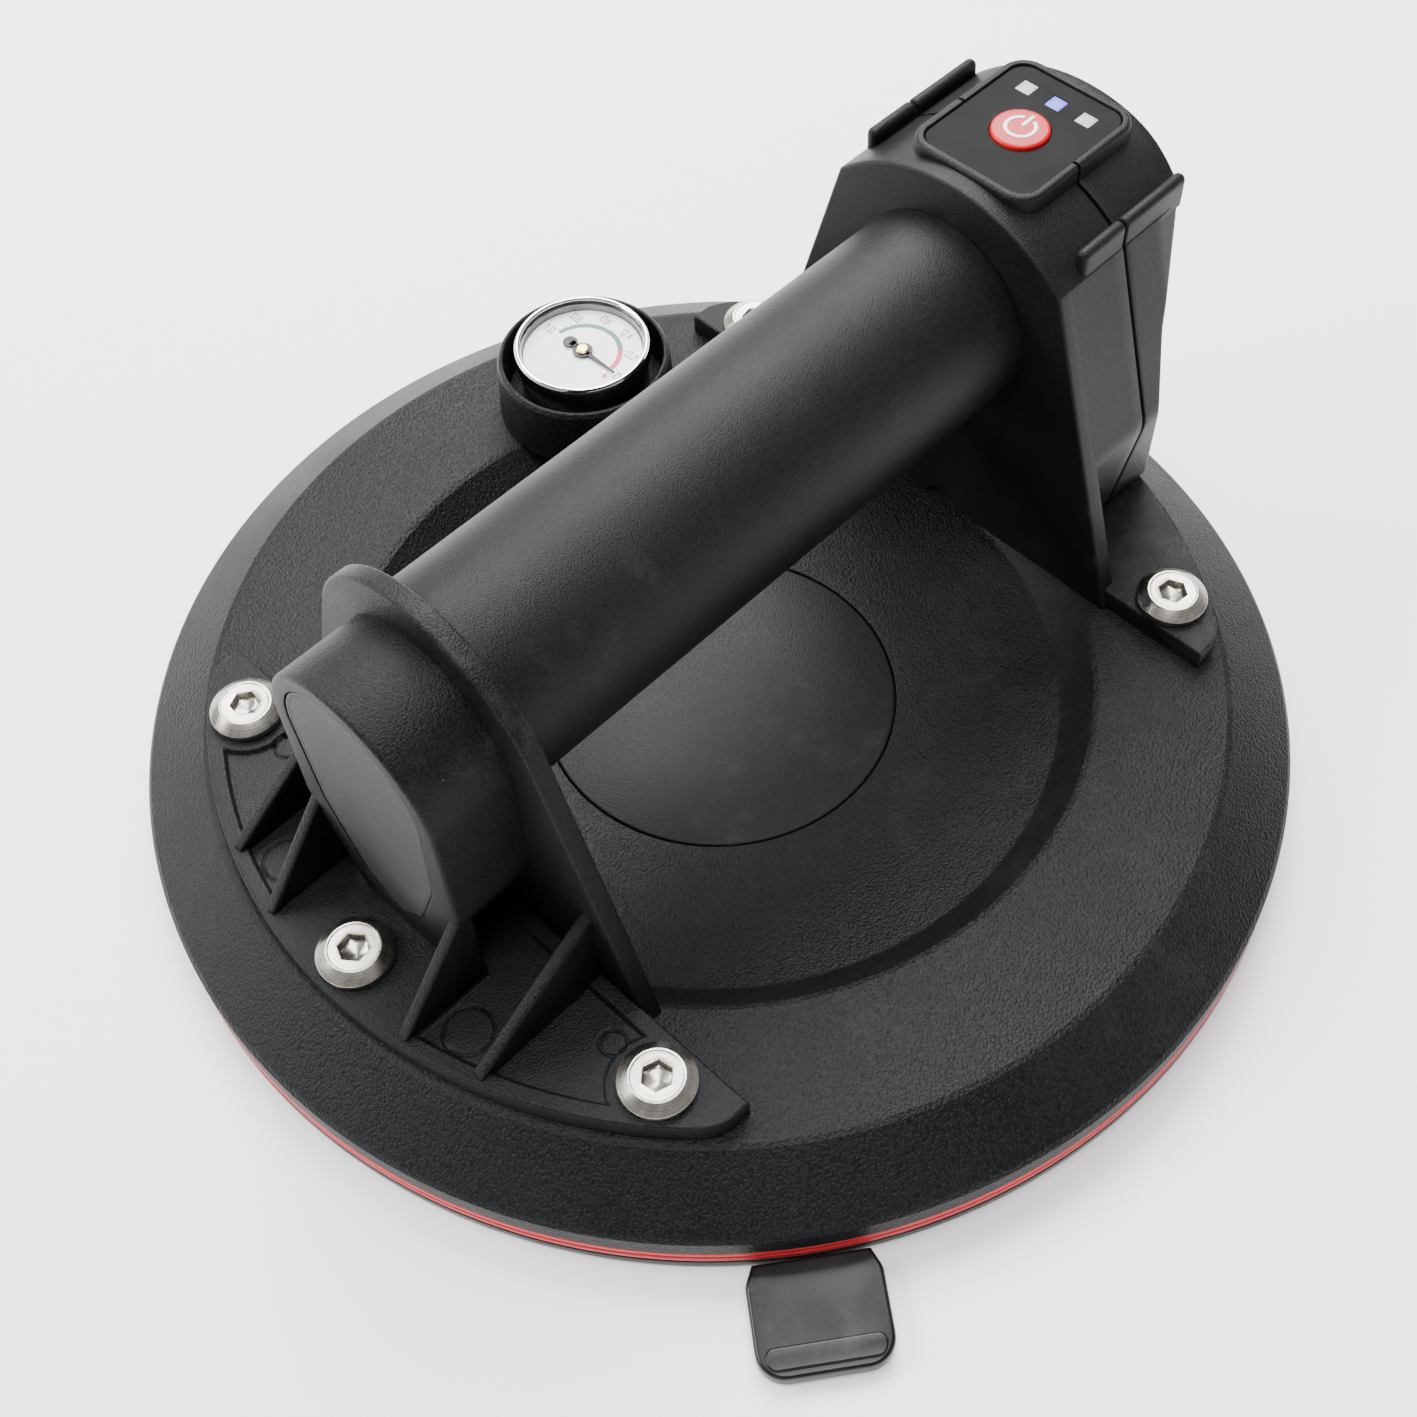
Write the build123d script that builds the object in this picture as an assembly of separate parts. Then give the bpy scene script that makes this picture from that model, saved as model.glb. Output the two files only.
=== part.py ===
from build123d import *
import os
from math import cos, radians, sin, sqrt, tan

# Battery vacuum lifter: a 200 mm suction cup with a motor pump in a tubular bridge handle.
# Frame: +Z up, origin on the suction plane at the cup's centre, +X along the handle to the control end.
# Millimetres.

# ---- cup ----
CUP_R = 100.0            # outer radius of cup and seal
LIP_TOP_Z = 2.4          # black rubber lip: 0 to here
SEAT_Z = 6.0             # red seal ring: lip top to here
RIM_TOP_Z = 10.2
LEDGE_Z = 18.0
LEDGE_R = 88.0           # where the ledge turns down into the bevel
BOWL_R = 65.2            # where the ledge drops into the bowl
BADGE_R = 31.0
BADGE_Z = 9.2
CEILING_Z = 4.8          # underside of the middle of the cup
GROOVE_IN_R = 67.0
GROOVE_OUT_R = 84.0
GROOVE_TOP_Z = 8.6
SEAL_IN_R = 85.0

# ---- screws that hold the handle feet ----
SCREW_R = 80.0           # radius of the screw circle
SCREW_ANGLES = (0, 39, 142, 180, 218, 321)
HEAD_R = 6.2
SHANK_R = 3.0
HOLE_R = 3.3
INSERT_R = 4.2
INSERT_BOTTOM_Z = 7.0
INSERT_TOP_Z = 14.0
FOOT_TOP_Z = 22.0
FOOT_R = 87.0
FOOT_HALF_Y = 61.3

# ---- handle ----
TUBE_Z = 64.3
TUBE_R = 17.6
TUBE_BORE = 15.4
SPIGOT_R = 15.2
SPIGOT_BORE = 13.2
SPIGOT_LEN = 7.0
SEAL_X = (-49.5, 51.5)   # O-rings between spigots and tube
FRONT_X = -53.0          # inner face of the front plate
REAR_X = 55.0            # inner face of the rear plate
PLATE_T = 3.3
POD_END_X = -70.8
POD_R = 17.5
POD_Z = 62.5             # centre height of the pod's round top
POD_WALL = 2.2
POCKET_DEPTH = 0.9       # sunk floor of the front foot
INNER_RIB_Y = 16.0
OUTER_RIB_Y = 29.0

# ---- control housing ----
SHELL_TOP_R = 33.0
SHELL_TOP_Z = 56.0
SHOULDER_Y = 23.0
SIDE_SLOPE = 0.303
WAIST_Z = 46.5           # the sides turn in below here
STRIP_Z = 82.9           # centre height of the two shoulder strips
SEAM_X = 71.6
SEAM_GAP = 0.6
BACK_X = 90.0
SHELL_WALL = 2.4
PANEL_X = (59.9, 86.4)
PANEL_HALF_Y = 11.05
PANEL_Z = 89.4
PAD_TOP_Z = 89.8
BUTTON_X = 72.3
BUTTON_R = 4.9
LED_X = 81.5
LED_PITCH = 6.1
LED_SIDE = 2.9
BOARD_Z = 80.4
COVER_SCREWS = ((21.0, 66.0), (-21.0, 66.0), (22.0, 34.0), (-22.0, 34.0))
PORT_ANGLE = 23.5        # rake of the back wall at the charging port, in degrees
PORT_POINT = (83.5, 71.0)  # (x, z) on the outside of the back wall

# ---- gauge ----
GAUGE_X, GAUGE_Y = 28.7, 63.1
BOSS_R = 16.3
BOSS_TOP_Z = 30.2
BOSS_WELL_R = 15.1
CASE_R = 12.2
BEZEL_R = 12.7
BEZEL_TOP_Z = 33.2
DIAL_Z = 30.6

STEM_R = 4.9
NUT_TOP_Z = 10.0

# ---- air path ----
PORT_X = -67.5           # where the pump's hose enters the cup
PORT_SEAT_R = 4.0
NIPPLE_R = 2.6
HOSE_X = -62.5
FILTER_R = 11.0
FILTER_AT = (-34.0, 0.0)

# ---- release tab ----
TAB_ANGLE = -128.0
TAB_HALF_W = 10.6
TAB_TIP_R = 118.0
TAB_ROOT_R = 100.4
TAB_T = 3.6


def ring(r_out, r_in, z0, z1):
    """A flat ring about Z."""
    return Pos(0, 0, z0) * extrude(Circle(r_out) - Circle(r_in), z1 - z0)


def disc(r, z0, z1, x=0.0, y=0.0):
    return Pos(x, y, z0) * extrude(Circle(r), z1 - z0)


def rod_x(r, x0, x1, y=0.0, z=TUBE_Z):
    """A round bar along X."""
    return Pos(x0, y, z) * Rot(0, 90, 0) * extrude(Circle(r), x1 - x0)


def block(x0, x1, y0, y1, z0, z1):
    return Pos((x0 + x1) / 2, (y0 + y1) / 2, (z0 + z1) / 2) * Box(abs(x1 - x0), abs(y1 - y0), abs(z1 - z0))


def turned(points):
    """A solid of revolution about Z from (radius, height) points."""
    return revolve(Plane.XZ * make_face(Polyline(*points, close=True)), Axis.Z)


def slab_x(face_yz, x0, x1):
    """Extrudes a sketch drawn in (y, z) from x0 to x1."""
    return Pos(x0, 0, 0) * extrude(Plane.YZ * face_yz, x1 - x0)


def screw_points():
    return [(SCREW_R * cos(radians(a)), SCREW_R * sin(radians(a))) for a in SCREW_ANGLES]


# ---------------------------------------------------------------- cup

def make_base_plate():
    """Moulded cup: bevelled rim, flat ledge, dished middle, hollow ring under the ledge."""
    bowl_low = (BOWL_R - 5.4, LEDGE_Z - 5.2)
    bowl_mid = (46.0, 10.4)
    badge_edge = (BADGE_R + 0.3, BADGE_Z)
    outline = [
        Line((0, CEILING_Z), (GROOVE_IN_R, CEILING_Z)),
        Line((GROOVE_IN_R, CEILING_Z), (GROOVE_IN_R, GROOVE_TOP_Z)),
        Line((GROOVE_IN_R, GROOVE_TOP_Z), (GROOVE_OUT_R, GROOVE_TOP_Z)),
        Line((GROOVE_OUT_R, GROOVE_TOP_Z), (GROOVE_OUT_R, SEAT_Z)),
        Line((GROOVE_OUT_R, SEAT_Z), (CUP_R, SEAT_Z)),
        Line((CUP_R, SEAT_Z), (CUP_R, RIM_TOP_Z - 0.6)),
        Line((CUP_R, RIM_TOP_Z - 0.6), (CUP_R - 0.7, RIM_TOP_Z + 0.3)),
        Line((CUP_R - 0.7, RIM_TOP_Z + 0.3), (LEDGE_R + 0.6, LEDGE_Z - 0.3)),
        Line((LEDGE_R + 0.6, LEDGE_Z - 0.3), (LEDGE_R - 0.5, LEDGE_Z)),
        Line((LEDGE_R - 0.5, LEDGE_Z), (BOWL_R + 0.7, LEDGE_Z)),
        Line((BOWL_R + 0.7, LEDGE_Z), (BOWL_R - 0.5, LEDGE_Z - 0.4)),
        Line((BOWL_R - 0.5, LEDGE_Z - 0.4), bowl_low),
        ThreePointArc(bowl_low, bowl_mid, badge_edge),
        Line(badge_edge, (BADGE_R + 0.3, BADGE_Z - 1.8)),
        Line((BADGE_R + 0.3, BADGE_Z - 1.8), (0, BADGE_Z - 1.8)),
        Line((0, BADGE_Z - 1.8), (0, CEILING_Z)),
    ]
    plate = revolve(Plane.XZ * make_face(Wire(outline)), Axis.Z)
    for x, y in screw_points():
        plate += disc(7.0, SEAT_Z, GROOVE_TOP_Z + 0.5, x, y)
    for k in range(24):
        angle = 360 / 24 * (k + 0.5)
        web = block(GROOVE_IN_R - 0.5, GROOVE_OUT_R + 0.5, -0.9, 0.9, SEAT_Z + 1.0, GROOVE_TOP_Z + 0.5)
        plate += Rot(0, 0, angle) * web
    for x, y in screw_points():
        plate -= disc(HOLE_R, SEAT_Z - 1, LEDGE_Z + 1, x, y)
        plate -= disc(INSERT_R, SEAT_Z - 1, INSERT_TOP_Z, x, y)
    plate += disc(5.0, CEILING_Z + 2, LEDGE_Z, PORT_X, 0)
    plate -= disc(PORT_SEAT_R, LEDGE_Z - 2.0, LEDGE_Z + 1, PORT_X, 0)
    plate -= disc(1.6, CEILING_Z - 1, LEDGE_Z + 1, PORT_X, 0)
    plate += disc(BOSS_R - 0.2, CEILING_Z + 2, LEDGE_Z, GAUGE_X, GAUGE_Y)
    plate -= disc(STEM_R + 0.1, CEILING_Z - 1, LEDGE_Z + 1, GAUGE_X, GAUGE_Y)
    plate -= disc(7.5, CEILING_Z - 1, NUT_TOP_Z, GAUGE_X, GAUGE_Y)
    plate -= disc(FILTER_R + 0.1, CEILING_Z - 1, CEILING_Z + 1.6, *FILTER_AT)
    plate -= disc(1.6, CEILING_Z, CEILING_Z + 2.4, *FILTER_AT)
    channel = block(PORT_X, FILTER_AT[0], -1.0, 1.0, CEILING_Z, CEILING_Z + 1.6)
    plate -= channel
    return plate


def make_centre_badge():
    """Round plain cover disc set flush into the bowl."""
    badge = disc(BADGE_R, BADGE_Z - 1.8, BADGE_Z)
    return chamfer(badge.edges().sort_by(Axis.Z)[-1], 0.3)


def make_red_seal():
    """Red elastomer ring between cup and lip; its outer edge is two soft beads."""
    z0, z1 = LIP_TOP_Z, SEAT_Z
    mid = (z0 + z1) / 2
    outline = [
        Line((SEAL_IN_R, z0), (CUP_R - 0.6, z0)),
        ThreePointArc((CUP_R - 0.6, z0), (CUP_R, (z0 + mid) / 2), (CUP_R - 0.4, mid)),
        ThreePointArc((CUP_R - 0.4, mid), (CUP_R, (z1 + mid) / 2), (CUP_R - 0.6, z1)),
        Line((CUP_R - 0.6, z1), (SEAL_IN_R, z1)),
        Line((SEAL_IN_R, z1), (SEAL_IN_R, z0)),
    ]
    return revolve(Plane.XZ * make_face(Wire(outline)), Axis.Z)


def make_rubber_lip():
    """Soft black contact lip with one relief groove in its face."""
    lip = turned([
        (80.0, 0.6), (81.0, 0.0), (89.0, 0.0), (89.4, 0.8), (90.6, 0.8), (91.0, 0.0),
        (CUP_R - 0.8, 0.0), (CUP_R, 0.8), (CUP_R, LIP_TOP_Z - 0.2),
        (CUP_R - 0.2, LIP_TOP_Z), (82.0, LIP_TOP_Z), (80.0, 1.4)])
    return lip


def make_release_tab():
    """Rubber pull tab standing out past the rim, thicker along its tip."""
    tab = block(TAB_ROOT_R, TAB_TIP_R, -TAB_HALF_W, TAB_HALF_W, 0.3, 0.3 + TAB_T)
    corners = tab.edges().filter_by(Axis.Z).group_by(Axis.X)[-1]
    tab = fillet(corners, 4.5)
    tab = fillet(tab.faces().sort_by(Axis.Z)[-1].edges(), 0.8)
    return Rot(0, 0, TAB_ANGLE) * tab


# ---------------------------------------------------------------- fasteners

def make_foot_screw():
    """Wide low head with a hexagon socket, plain-shank stand-in for the thread."""
    z = FOOT_TOP_Z
    screw = turned([
        (0, 7.6), (SHANK_R - 0.5, 7.6), (SHANK_R, 8.1), (SHANK_R, z), (HEAD_R - 0.5, z),
        (HEAD_R, z + 0.5), (HEAD_R, z + 1.3), (4.4, z + 2.8), (4.1, z + 2.8), (4.0, z + 2.65), (0, z + 2.65)])
    socket = Pos(0, 0, z + 0.7) * extrude(RegularPolygon(2.5, 6), 3)
    return screw - socket


def make_foot_screws():
    screw = make_foot_screw()
    turns = (0, 12, 25, 8, 40, 52)
    return [Pos(x, y, 0) * Rot(0, 0, t) * screw for (x, y), t in zip(screw_points(), turns)]


def make_screw_inserts():
    """Brass inserts in the cup's bosses."""
    one = ring(INSERT_R, SHANK_R + 0.05, INSERT_BOTTOM_Z, INSERT_TOP_Z)
    return [Pos(x, y, 0) * one for x, y in screw_points()]


# ---------------------------------------------------------------- handle

def arch_front():
    """Front plate outline in (y, z): round top, sides leaning out to the foot."""
    r, zc, lean = 23.5, 63.0, radians(18.5)
    ty, tz = r * cos(lean), zc + r * sin(lean)
    foot_y = ty + tan(lean) * (tz - LEDGE_Z)
    outline = [
        Line((-foot_y, LEDGE_Z), (foot_y, LEDGE_Z)),
        Line((foot_y, LEDGE_Z), (ty, tz)),
        ThreePointArc((ty, tz), (0, zc + r), (-ty, tz)),
        Line((-ty, tz), (-foot_y, LEDGE_Z)),
    ]
    return make_face(Wire(outline))


def pod_outline(inset, low_z):
    """Pod section in (y, z): round top, straight sides, drawn in towards the foot."""
    r = POD_R - inset
    knee_z, low_y = 41.0 + inset * 0.5, 8.5 - inset
    outline = [
        Line((-low_y, low_z), (low_y, low_z)),
        Line((low_y, low_z), (r, knee_z)),
        Line((r, knee_z), (r, POD_Z)),
        ThreePointArc((r, POD_Z), (0, POD_Z + r), (-r, POD_Z)),
        Line((-r, POD_Z), (-r, knee_z)),
        Line((-r, knee_z), (-low_y, low_z)),
    ]
    return make_face(Wire(outline))


def foot_block(sign):
    """Foot plate on the ledge: a slice of a disc with its two tips cut back. sign -1 is the front foot."""
    inner_x = 56.0
    outline = Circle(FOOT_R) & (Pos(inner_x + 25, 0) * Rectangle(50, 2 * FOOT_HALF_Y))
    foot = extrude(outline, FOOT_TOP_Z - LEDGE_Z)
    tips = foot.edges().filter_by(Axis.Z)
    outer = [e for e in tips if abs(e.center().Y) > FOOT_HALF_Y - 4]
    foot = fillet(outer, 3.2)
    if sign < 0:
        foot = Rot(0, 0, 180) * foot
    return Pos(0, 0, LEDGE_Z) * foot


def rib(y, x_top, z_top, x_out, thick):
    """Triangular gusset standing on the front foot at y."""
    tri = make_face(Polyline((x_top, FOOT_TOP_Z - 1.5), (x_top, z_top), (x_out, FOOT_TOP_Z + 0.6),
                             (x_out, FOOT_TOP_Z - 1.5), close=True))
    return Pos(0, y + thick / 2, 0) * extrude(Plane.XZ * tri, thick)


def foot_pocket(side):
    """The sunk floor outboard of the inner rib, with a rim round it and lands for the screws."""
    shape = Circle(FOOT_R - 2.8) & (Pos(-73.5, 0) * Rectangle(29.0, 2 * FOOT_HALF_Y - 6))
    shape &= Pos(-70, side * (INNER_RIB_Y + 1.0 + 30)) * Rectangle(60, 60)
    shape -= Pos(SCREW_R * cos(radians(142)), side * SCREW_R * sin(radians(142))) * Circle(8.0)
    return Pos(0, 0, FOOT_TOP_Z - POCKET_DEPTH) * extrude(shape, POCKET_DEPTH + 2)


def make_front_bracket():
    """Front foot, gusseted arch plate and pump pod in one moulding."""
    out_x = FRONT_X - PLATE_T
    foot = foot_block(-1)
    for side in (1, -1):
        foot -= foot_pocket(side)
        for x, y, r in ((-76.4, 21.9, 4.0), (-62.8, 39.4, 2.1)):
            mark = ring(r + 0.15, r - 0.15, FOOT_TOP_Z - POCKET_DEPTH - 0.3, FOOT_TOP_Z)
            foot -= Pos(x, side * y, 0) * mark
    body = foot + slab_x(arch_front(), out_x, FRONT_X)
    for side in (1, -1):
        body += rib(side * INNER_RIB_Y, POD_END_X + 3, 43.5, -84.4, 1.9)
        body += rib(side * OUTER_RIB_Y, out_x + 0.5, 40.0, -80.8, 2.1)
    pod = slab_x(pod_outline(0, FOOT_TOP_Z - 1), POD_END_X, out_x + 0.2)
    top_edges = [e for e in pod.edges() if e.center().X < POD_END_X + 0.1 and e.center().Z > FOOT_TOP_Z]
    pod = chamfer(top_edges, 0.8)
    body += pod
    collar = rod_x(SPIGOT_R, FRONT_X - 0.2, FRONT_X + SPIGOT_LEN)
    body += collar - seal_groove(SEAL_X[0])
    body -= slab_x(pod_outline(POD_WALL, FOOT_TOP_Z + 1.6), POD_END_X + POD_WALL, out_x + 0.4)
    body -= rod_x(SPIGOT_BORE, out_x - 0.1, FRONT_X + SPIGOT_LEN + 1)
    label_cut = slab_x(label_outline(0.0), POD_END_X - 1, POD_END_X + 0.7)
    body -= label_cut
    for angle in SCREW_ANGLES[2:5]:
        x, y = SCREW_R * cos(radians(angle)), SCREW_R * sin(radians(angle))
        body -= disc(HOLE_R, LEDGE_Z - 1, FOOT_TOP_Z + 1, x, y)
        body -= disc(HEAD_R + 0.5, FOOT_TOP_Z, FOOT_TOP_Z + 20, x, y)
    body -= disc(NIPPLE_R, LEDGE_Z - 1, FOOT_TOP_Z + 4, PORT_X, 0)
    return body


def label_outline(inset):
    """Pick-shaped label recess on the pod's end face, in (y, z)."""
    r = 14.2 - inset
    a = (r, POD_Z + 0.6)
    knee = (r - 1.8, 44.0)
    low = (6.6 - inset, 29.5)
    outline = [
        ThreePointArc(a, (0, POD_Z + 0.6 + r), (-a[0], a[1])),
        Line((-a[0], a[1]), (-knee[0], knee[1])),
        Line((-knee[0], knee[1]), (-low[0], low[1])),
        ThreePointArc((-low[0], low[1]), (0, 24.6 + inset), low),
        Line(low, knee),
        Line(knee, a),
    ]
    return make_face(Wire(outline))


def make_front_label():
    """Blank plate let into the pod's end face."""
    return slab_x(label_outline(0.15), POD_END_X + 0.15, POD_END_X + 0.7)


def make_handle_tube():
    tube = rod_x(TUBE_R, FRONT_X, REAR_X)
    return tube - rod_x(TUBE_BORE, FRONT_X - 1, REAR_X + 1)


def seal_groove(x):
    return rod_x(SPIGOT_R + 0.1, x - 0.7, x + 0.7) - rod_x(SPIGOT_R - 1.15, x - 1, x + 1)


def make_tube_seals():
    """O-rings round the two spigots, inside the tube."""
    rings = []
    for x in SEAL_X:
        rings.append(Pos(x, 0, TUBE_Z) * Rot(0, 90, 0) * Torus(SPIGOT_R - 0.5, 0.62))
    return rings


# ---------------------------------------------------------------- control housing

def shell_outline(inset):
    """Housing section in (y, z): shallow crown, shoulders, leaning sides, drawn in near the foot."""
    r = SHELL_TOP_R - inset
    sy = SHOULDER_Y - inset
    sz = SHELL_TOP_Z + sqrt(r * r - sy * sy)
    waist_y = SHOULDER_Y + SIDE_SLOPE * (79.7 - WAIST_Z) - inset
    low_z = FOOT_TOP_Z - 1.0 + (inset > 0) * 2.6
    low_y = 28.7 - inset
    outline = [
        Line((-low_y, low_z), (low_y, low_z)),
        Line((low_y, low_z), (waist_y, WAIST_Z)),
        Line((waist_y, WAIST_Z), (sy, sz)),
        ThreePointArc((sy, sz), (0, SHELL_TOP_Z + r), (-sy, sz)),
        Line((-sy, sz), (-waist_y, WAIST_Z)),
        Line((-waist_y, WAIST_Z), (-low_y, low_z)),
    ]
    return make_face(Wire(outline))


def plate_rear_outline():
    """Rear plate in (y, z): the housing's crown with sides running straight to the foot."""
    sy = SHOULDER_Y
    sz = SHELL_TOP_Z + sqrt(SHELL_TOP_R ** 2 - sy * sy)
    foot_y = sy + SIDE_SLOPE * (sz - LEDGE_Z)
    outline = [
        Line((-foot_y, LEDGE_Z), (foot_y, LEDGE_Z)),
        Line((foot_y, LEDGE_Z), (sy, sz)),
        ThreePointArc((sy, sz), (0, SHELL_TOP_Z + SHELL_TOP_R), (-sy, sz)),
        Line((-sy, sz), (-foot_y, LEDGE_Z)),
    ]
    return make_face(Wire(outline))


def back_side_profile(inset):
    """Side view in (x, z) that trims the housing's back: raked in to the waist, then out to a skirt."""
    i = inset
    points = [(REAR_X - 5, 10), (84.6 - i, 10), (84.0 - i, 22.0), (76.0 - i, WAIST_Z), (79.1 - i, 60.8),
              (88.3 - i, 82.0), (BACK_X - i, 86.5), (BACK_X - i, 100), (REAR_X - 5, 100)]
    return make_face(Polyline(*points, close=True))


def housing_outer():
    """The outside of the control housing with its pad for the panel and two shoulder strips."""
    block_outer = slab_x(shell_outline(0), REAR_X + PLATE_T - 0.2, BACK_X)
    trim = Pos(0, 60, 0) * extrude(Plane.XZ * back_side_profile(0), 120)
    body = block_outer & trim
    pad_x0, pad_x1 = PANEL_X[0] - 1.5, PANEL_X[1] + 1.5
    pad = block(pad_x0, pad_x1, -PANEL_HALF_Y - 1.5, PANEL_HALF_Y + 1.5, 80, PAD_TOP_Z)
    pad = fillet(pad.edges().filter_by(Axis.Z), 4.5)
    pad = fillet(pad.faces().sort_by(Axis.Z)[-1].edges(), 0.8)
    body += pad
    for side in (1, -1):
        body += rod_x(1.5, 61.0, 87.6, side * 21.6, STRIP_Z)
        body += block(61.0, 87.6, side * 20.1, side * 23.1, 78.0, STRIP_Z) & trim
        wedge = Pos(80.4, side * 23.0, 60) * Rot(0, 0, -side * 8) * Pos(10, side * 10, 0) * Box(20, 20, 40)
        body -= wedge & block(80.4, 95, -40, 40, 40, 79.9)
    return body


def housing_inner():
    trim = Pos(0, 60, 0) * extrude(Plane.XZ * back_side_profile(SHELL_WALL), 120)
    return slab_x(shell_outline(SHELL_WALL), REAR_X + PLATE_T, BACK_X) & trim


def panel_pocket():
    x0, x1 = PANEL_X
    pocket = block(x0, x1, -PANEL_HALF_Y, PANEL_HALF_Y, PANEL_Z - 1.5, PAD_TOP_Z + 1)
    return fillet(pocket.edges().filter_by(Axis.Z), 3.2)


def board_well():
    """The opening under the panel, for the button and the lights."""
    x0, x1 = PANEL_X
    return block(x0 + 2.4, x1 - 2.4, -PANEL_HALF_Y + 2, PANEL_HALF_Y - 2, 80, PANEL_Z)


def make_rear_bracket():
    """Rear foot, rear plate and the near half of the control housing."""
    body = foot_block(1) + slab_x(plate_rear_outline(), REAR_X, REAR_X + PLATE_T)
    near = housing_outer() & block(REAR_X, SEAM_X - SEAM_GAP / 2, -50, 50, 10, 100)
    body += near
    body += rod_x(SPIGOT_R, REAR_X - SPIGOT_LEN, REAR_X + 0.2) - seal_groove(SEAL_X[1])
    body -= housing_inner() & block(REAR_X, BACK_X, -50, 50, 10, 100)
    body -= rod_x(SPIGOT_BORE, REAR_X - SPIGOT_LEN - 1, REAR_X + PLATE_T + 0.1)
    body -= panel_pocket()
    body -= board_well()
    for y, z in COVER_SCREWS:
        body += rod_x(2.6, REAR_X + PLATE_T - 0.2, SEAM_X - SEAM_GAP / 2, y, z)
        body -= rod_x(1.3, SEAM_X - 8, SEAM_X + 1, y, z)
    for angle in (SCREW_ANGLES[1], SCREW_ANGLES[5], SCREW_ANGLES[0]):
        x, y = SCREW_R * cos(radians(angle)), SCREW_R * sin(radians(angle))
        body -= disc(HOLE_R, LEDGE_Z - 1, FOOT_TOP_Z + 1, x, y)
        body -= disc(HEAD_R + 0.5, FOOT_TOP_Z, FOOT_TOP_Z + 9, x, y)
    notch = rod_x(3.0, REAR_X - 1, REAR_X + PLATE_T + 1, -3.5, LEDGE_Z)
    return body - notch


def on_back_wall(shape):
    """Moves a shape drawn about its own +X axis on to the raked back wall at the charging port."""
    x, z = PORT_POINT
    return Pos(x, 0, z) * Rot(0, PORT_ANGLE, 0) * shape


def make_rear_cover():
    """The far half of the control housing, with the charging port's window."""
    body = housing_outer() & block(SEAM_X + SEAM_GAP / 2, BACK_X + 1, -50, 50, FOOT_TOP_Z + 0.05, 100)
    body -= housing_inner() & block(SEAM_X - 1, BACK_X, -50, 50, 10, 100)
    body -= panel_pocket()
    body -= board_well()
    outer = housing_outer()
    for y, z in COVER_SCREWS:
        post = rod_x(3.0, SEAM_X + SEAM_GAP / 2, BACK_X, y, z) & outer
        body += post
        body -= rod_x(1.7, SEAM_X, BACK_X + 1, y, z)
        head_x = SEAM_X + (4.0 if z > 50 else 3.0)
        body -= rod_x(3.1, head_x, BACK_X + 1, y, z)
    window = Plane.YZ * RectangleRounded(12.6, 7.6, 2.0)
    body -= on_back_wall(Pos(-1.3, 0, 0) * extrude(window, 6))
    slot = Plane.YZ * RectangleRounded(9.6, 3.8, 1.8)
    body -= on_back_wall(Pos(-6, 0, 0) * extrude(slot, 12))
    arch = disc(10.6, FOOT_TOP_Z + 0.05, 36.5, SCREW_R, 0) & outer
    body += arch & block(SEAM_X + SEAM_GAP / 2, BACK_X, -20, 20, 10, 50)
    body -= disc(8.4, FOOT_TOP_Z - 1, 34.4, SCREW_R, 0)
    return body


def make_cover_screws():
    """Four small pan-head screws holding the cover, sunk in its posts."""
    screws = []
    for y, z in COVER_SCREWS:
        head_x = SEAM_X + (4.0 if z > 50 else 3.0)
        screw = rod_x(1.25, SEAM_X - 7.5, head_x, y, z) + rod_x(2.8, head_x, head_x + 1.8, y, z)
        cross = block(head_x + 0.8, head_x + 3, y - 0.4, y + 0.4, z - 1.6, z + 1.6)
        cross += block(head_x + 0.8, head_x + 3, y - 1.6, y + 1.6, z - 0.4, z + 0.4)
        screws.append(screw - cross)
    return screws


def make_control_panel():
    """Black overlay with a hole for the button and windows for three lights."""
    x0, x1 = PANEL_X
    gap = 0.15
    panel = block(x0 + gap, x1 - gap, -PANEL_HALF_Y + gap, PANEL_HALF_Y - gap, PANEL_Z - 1.5, PANEL_Z)
    panel = fillet(panel.edges().filter_by(Axis.Z), 3.05)
    panel -= disc(BUTTON_R + 0.15, PANEL_Z - 3, PANEL_Z + 1, BUTTON_X, 0)
    for k in (-1, 0, 1):
        panel -= led_window(k, 0.05)
    return panel


def led_window(k, grow):
    h = LED_SIDE / 2 + grow
    y = k * LED_PITCH
    return block(LED_X - h, LED_X + h, y - h, y + h, PANEL_Z - 1.6, PANEL_Z + (0 if grow <= 0 else 1))


def make_power_button():
    """Round domed cap with a flange that keeps it under the panel."""
    z = PANEL_Z
    return turned([(0, z - 3.2), (BUTTON_R + 0.9, z - 3.2), (BUTTON_R + 0.9, z - 2.4), (BUTTON_R, z - 2.4),
                   (BUTTON_R, z + 0.5), (BUTTON_R - 0.5, z + 0.9), (0, z + 0.9)]).moved(
        Location((BUTTON_X, 0, 0))) - power_symbol(0.2)


def power_symbol(grow):
    """Standby mark: an open ring with a bar, let into the cap's top."""
    z = PANEL_Z + 0.65
    arc = Circle(2.75 + grow / 10) - Circle(2.15 - grow / 10)
    arc -= Pos(2.5, 0) * Rectangle(3.0, 1.9)
    bar = Pos(1.9, 0) * Rectangle(3.0, 0.6 + grow / 5)
    return Pos(BUTTON_X, 0, z) * extrude(arc + bar, 0.25 if grow == 0 else 2.0)


def make_power_mark():
    return list(power_symbol(0).solids())


def make_switch_plunger():
    """The tact switch's stem, carried by the button."""
    return disc(1.6, BOARD_Z + 3.1, PANEL_Z - 3.2, BUTTON_X, 0)


def make_control_board():
    board = block(60.8, 83.9, -9.5, 9.5, BOARD_Z - 1.6, BOARD_Z)
    for x in (63.2, 82.2):
        board -= disc(1.2, BOARD_Z - 3, BOARD_Z + 1, x, 7.4)
        board -= disc(1.2, BOARD_Z - 3, BOARD_Z + 1, x, -7.4)
    return board


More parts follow.
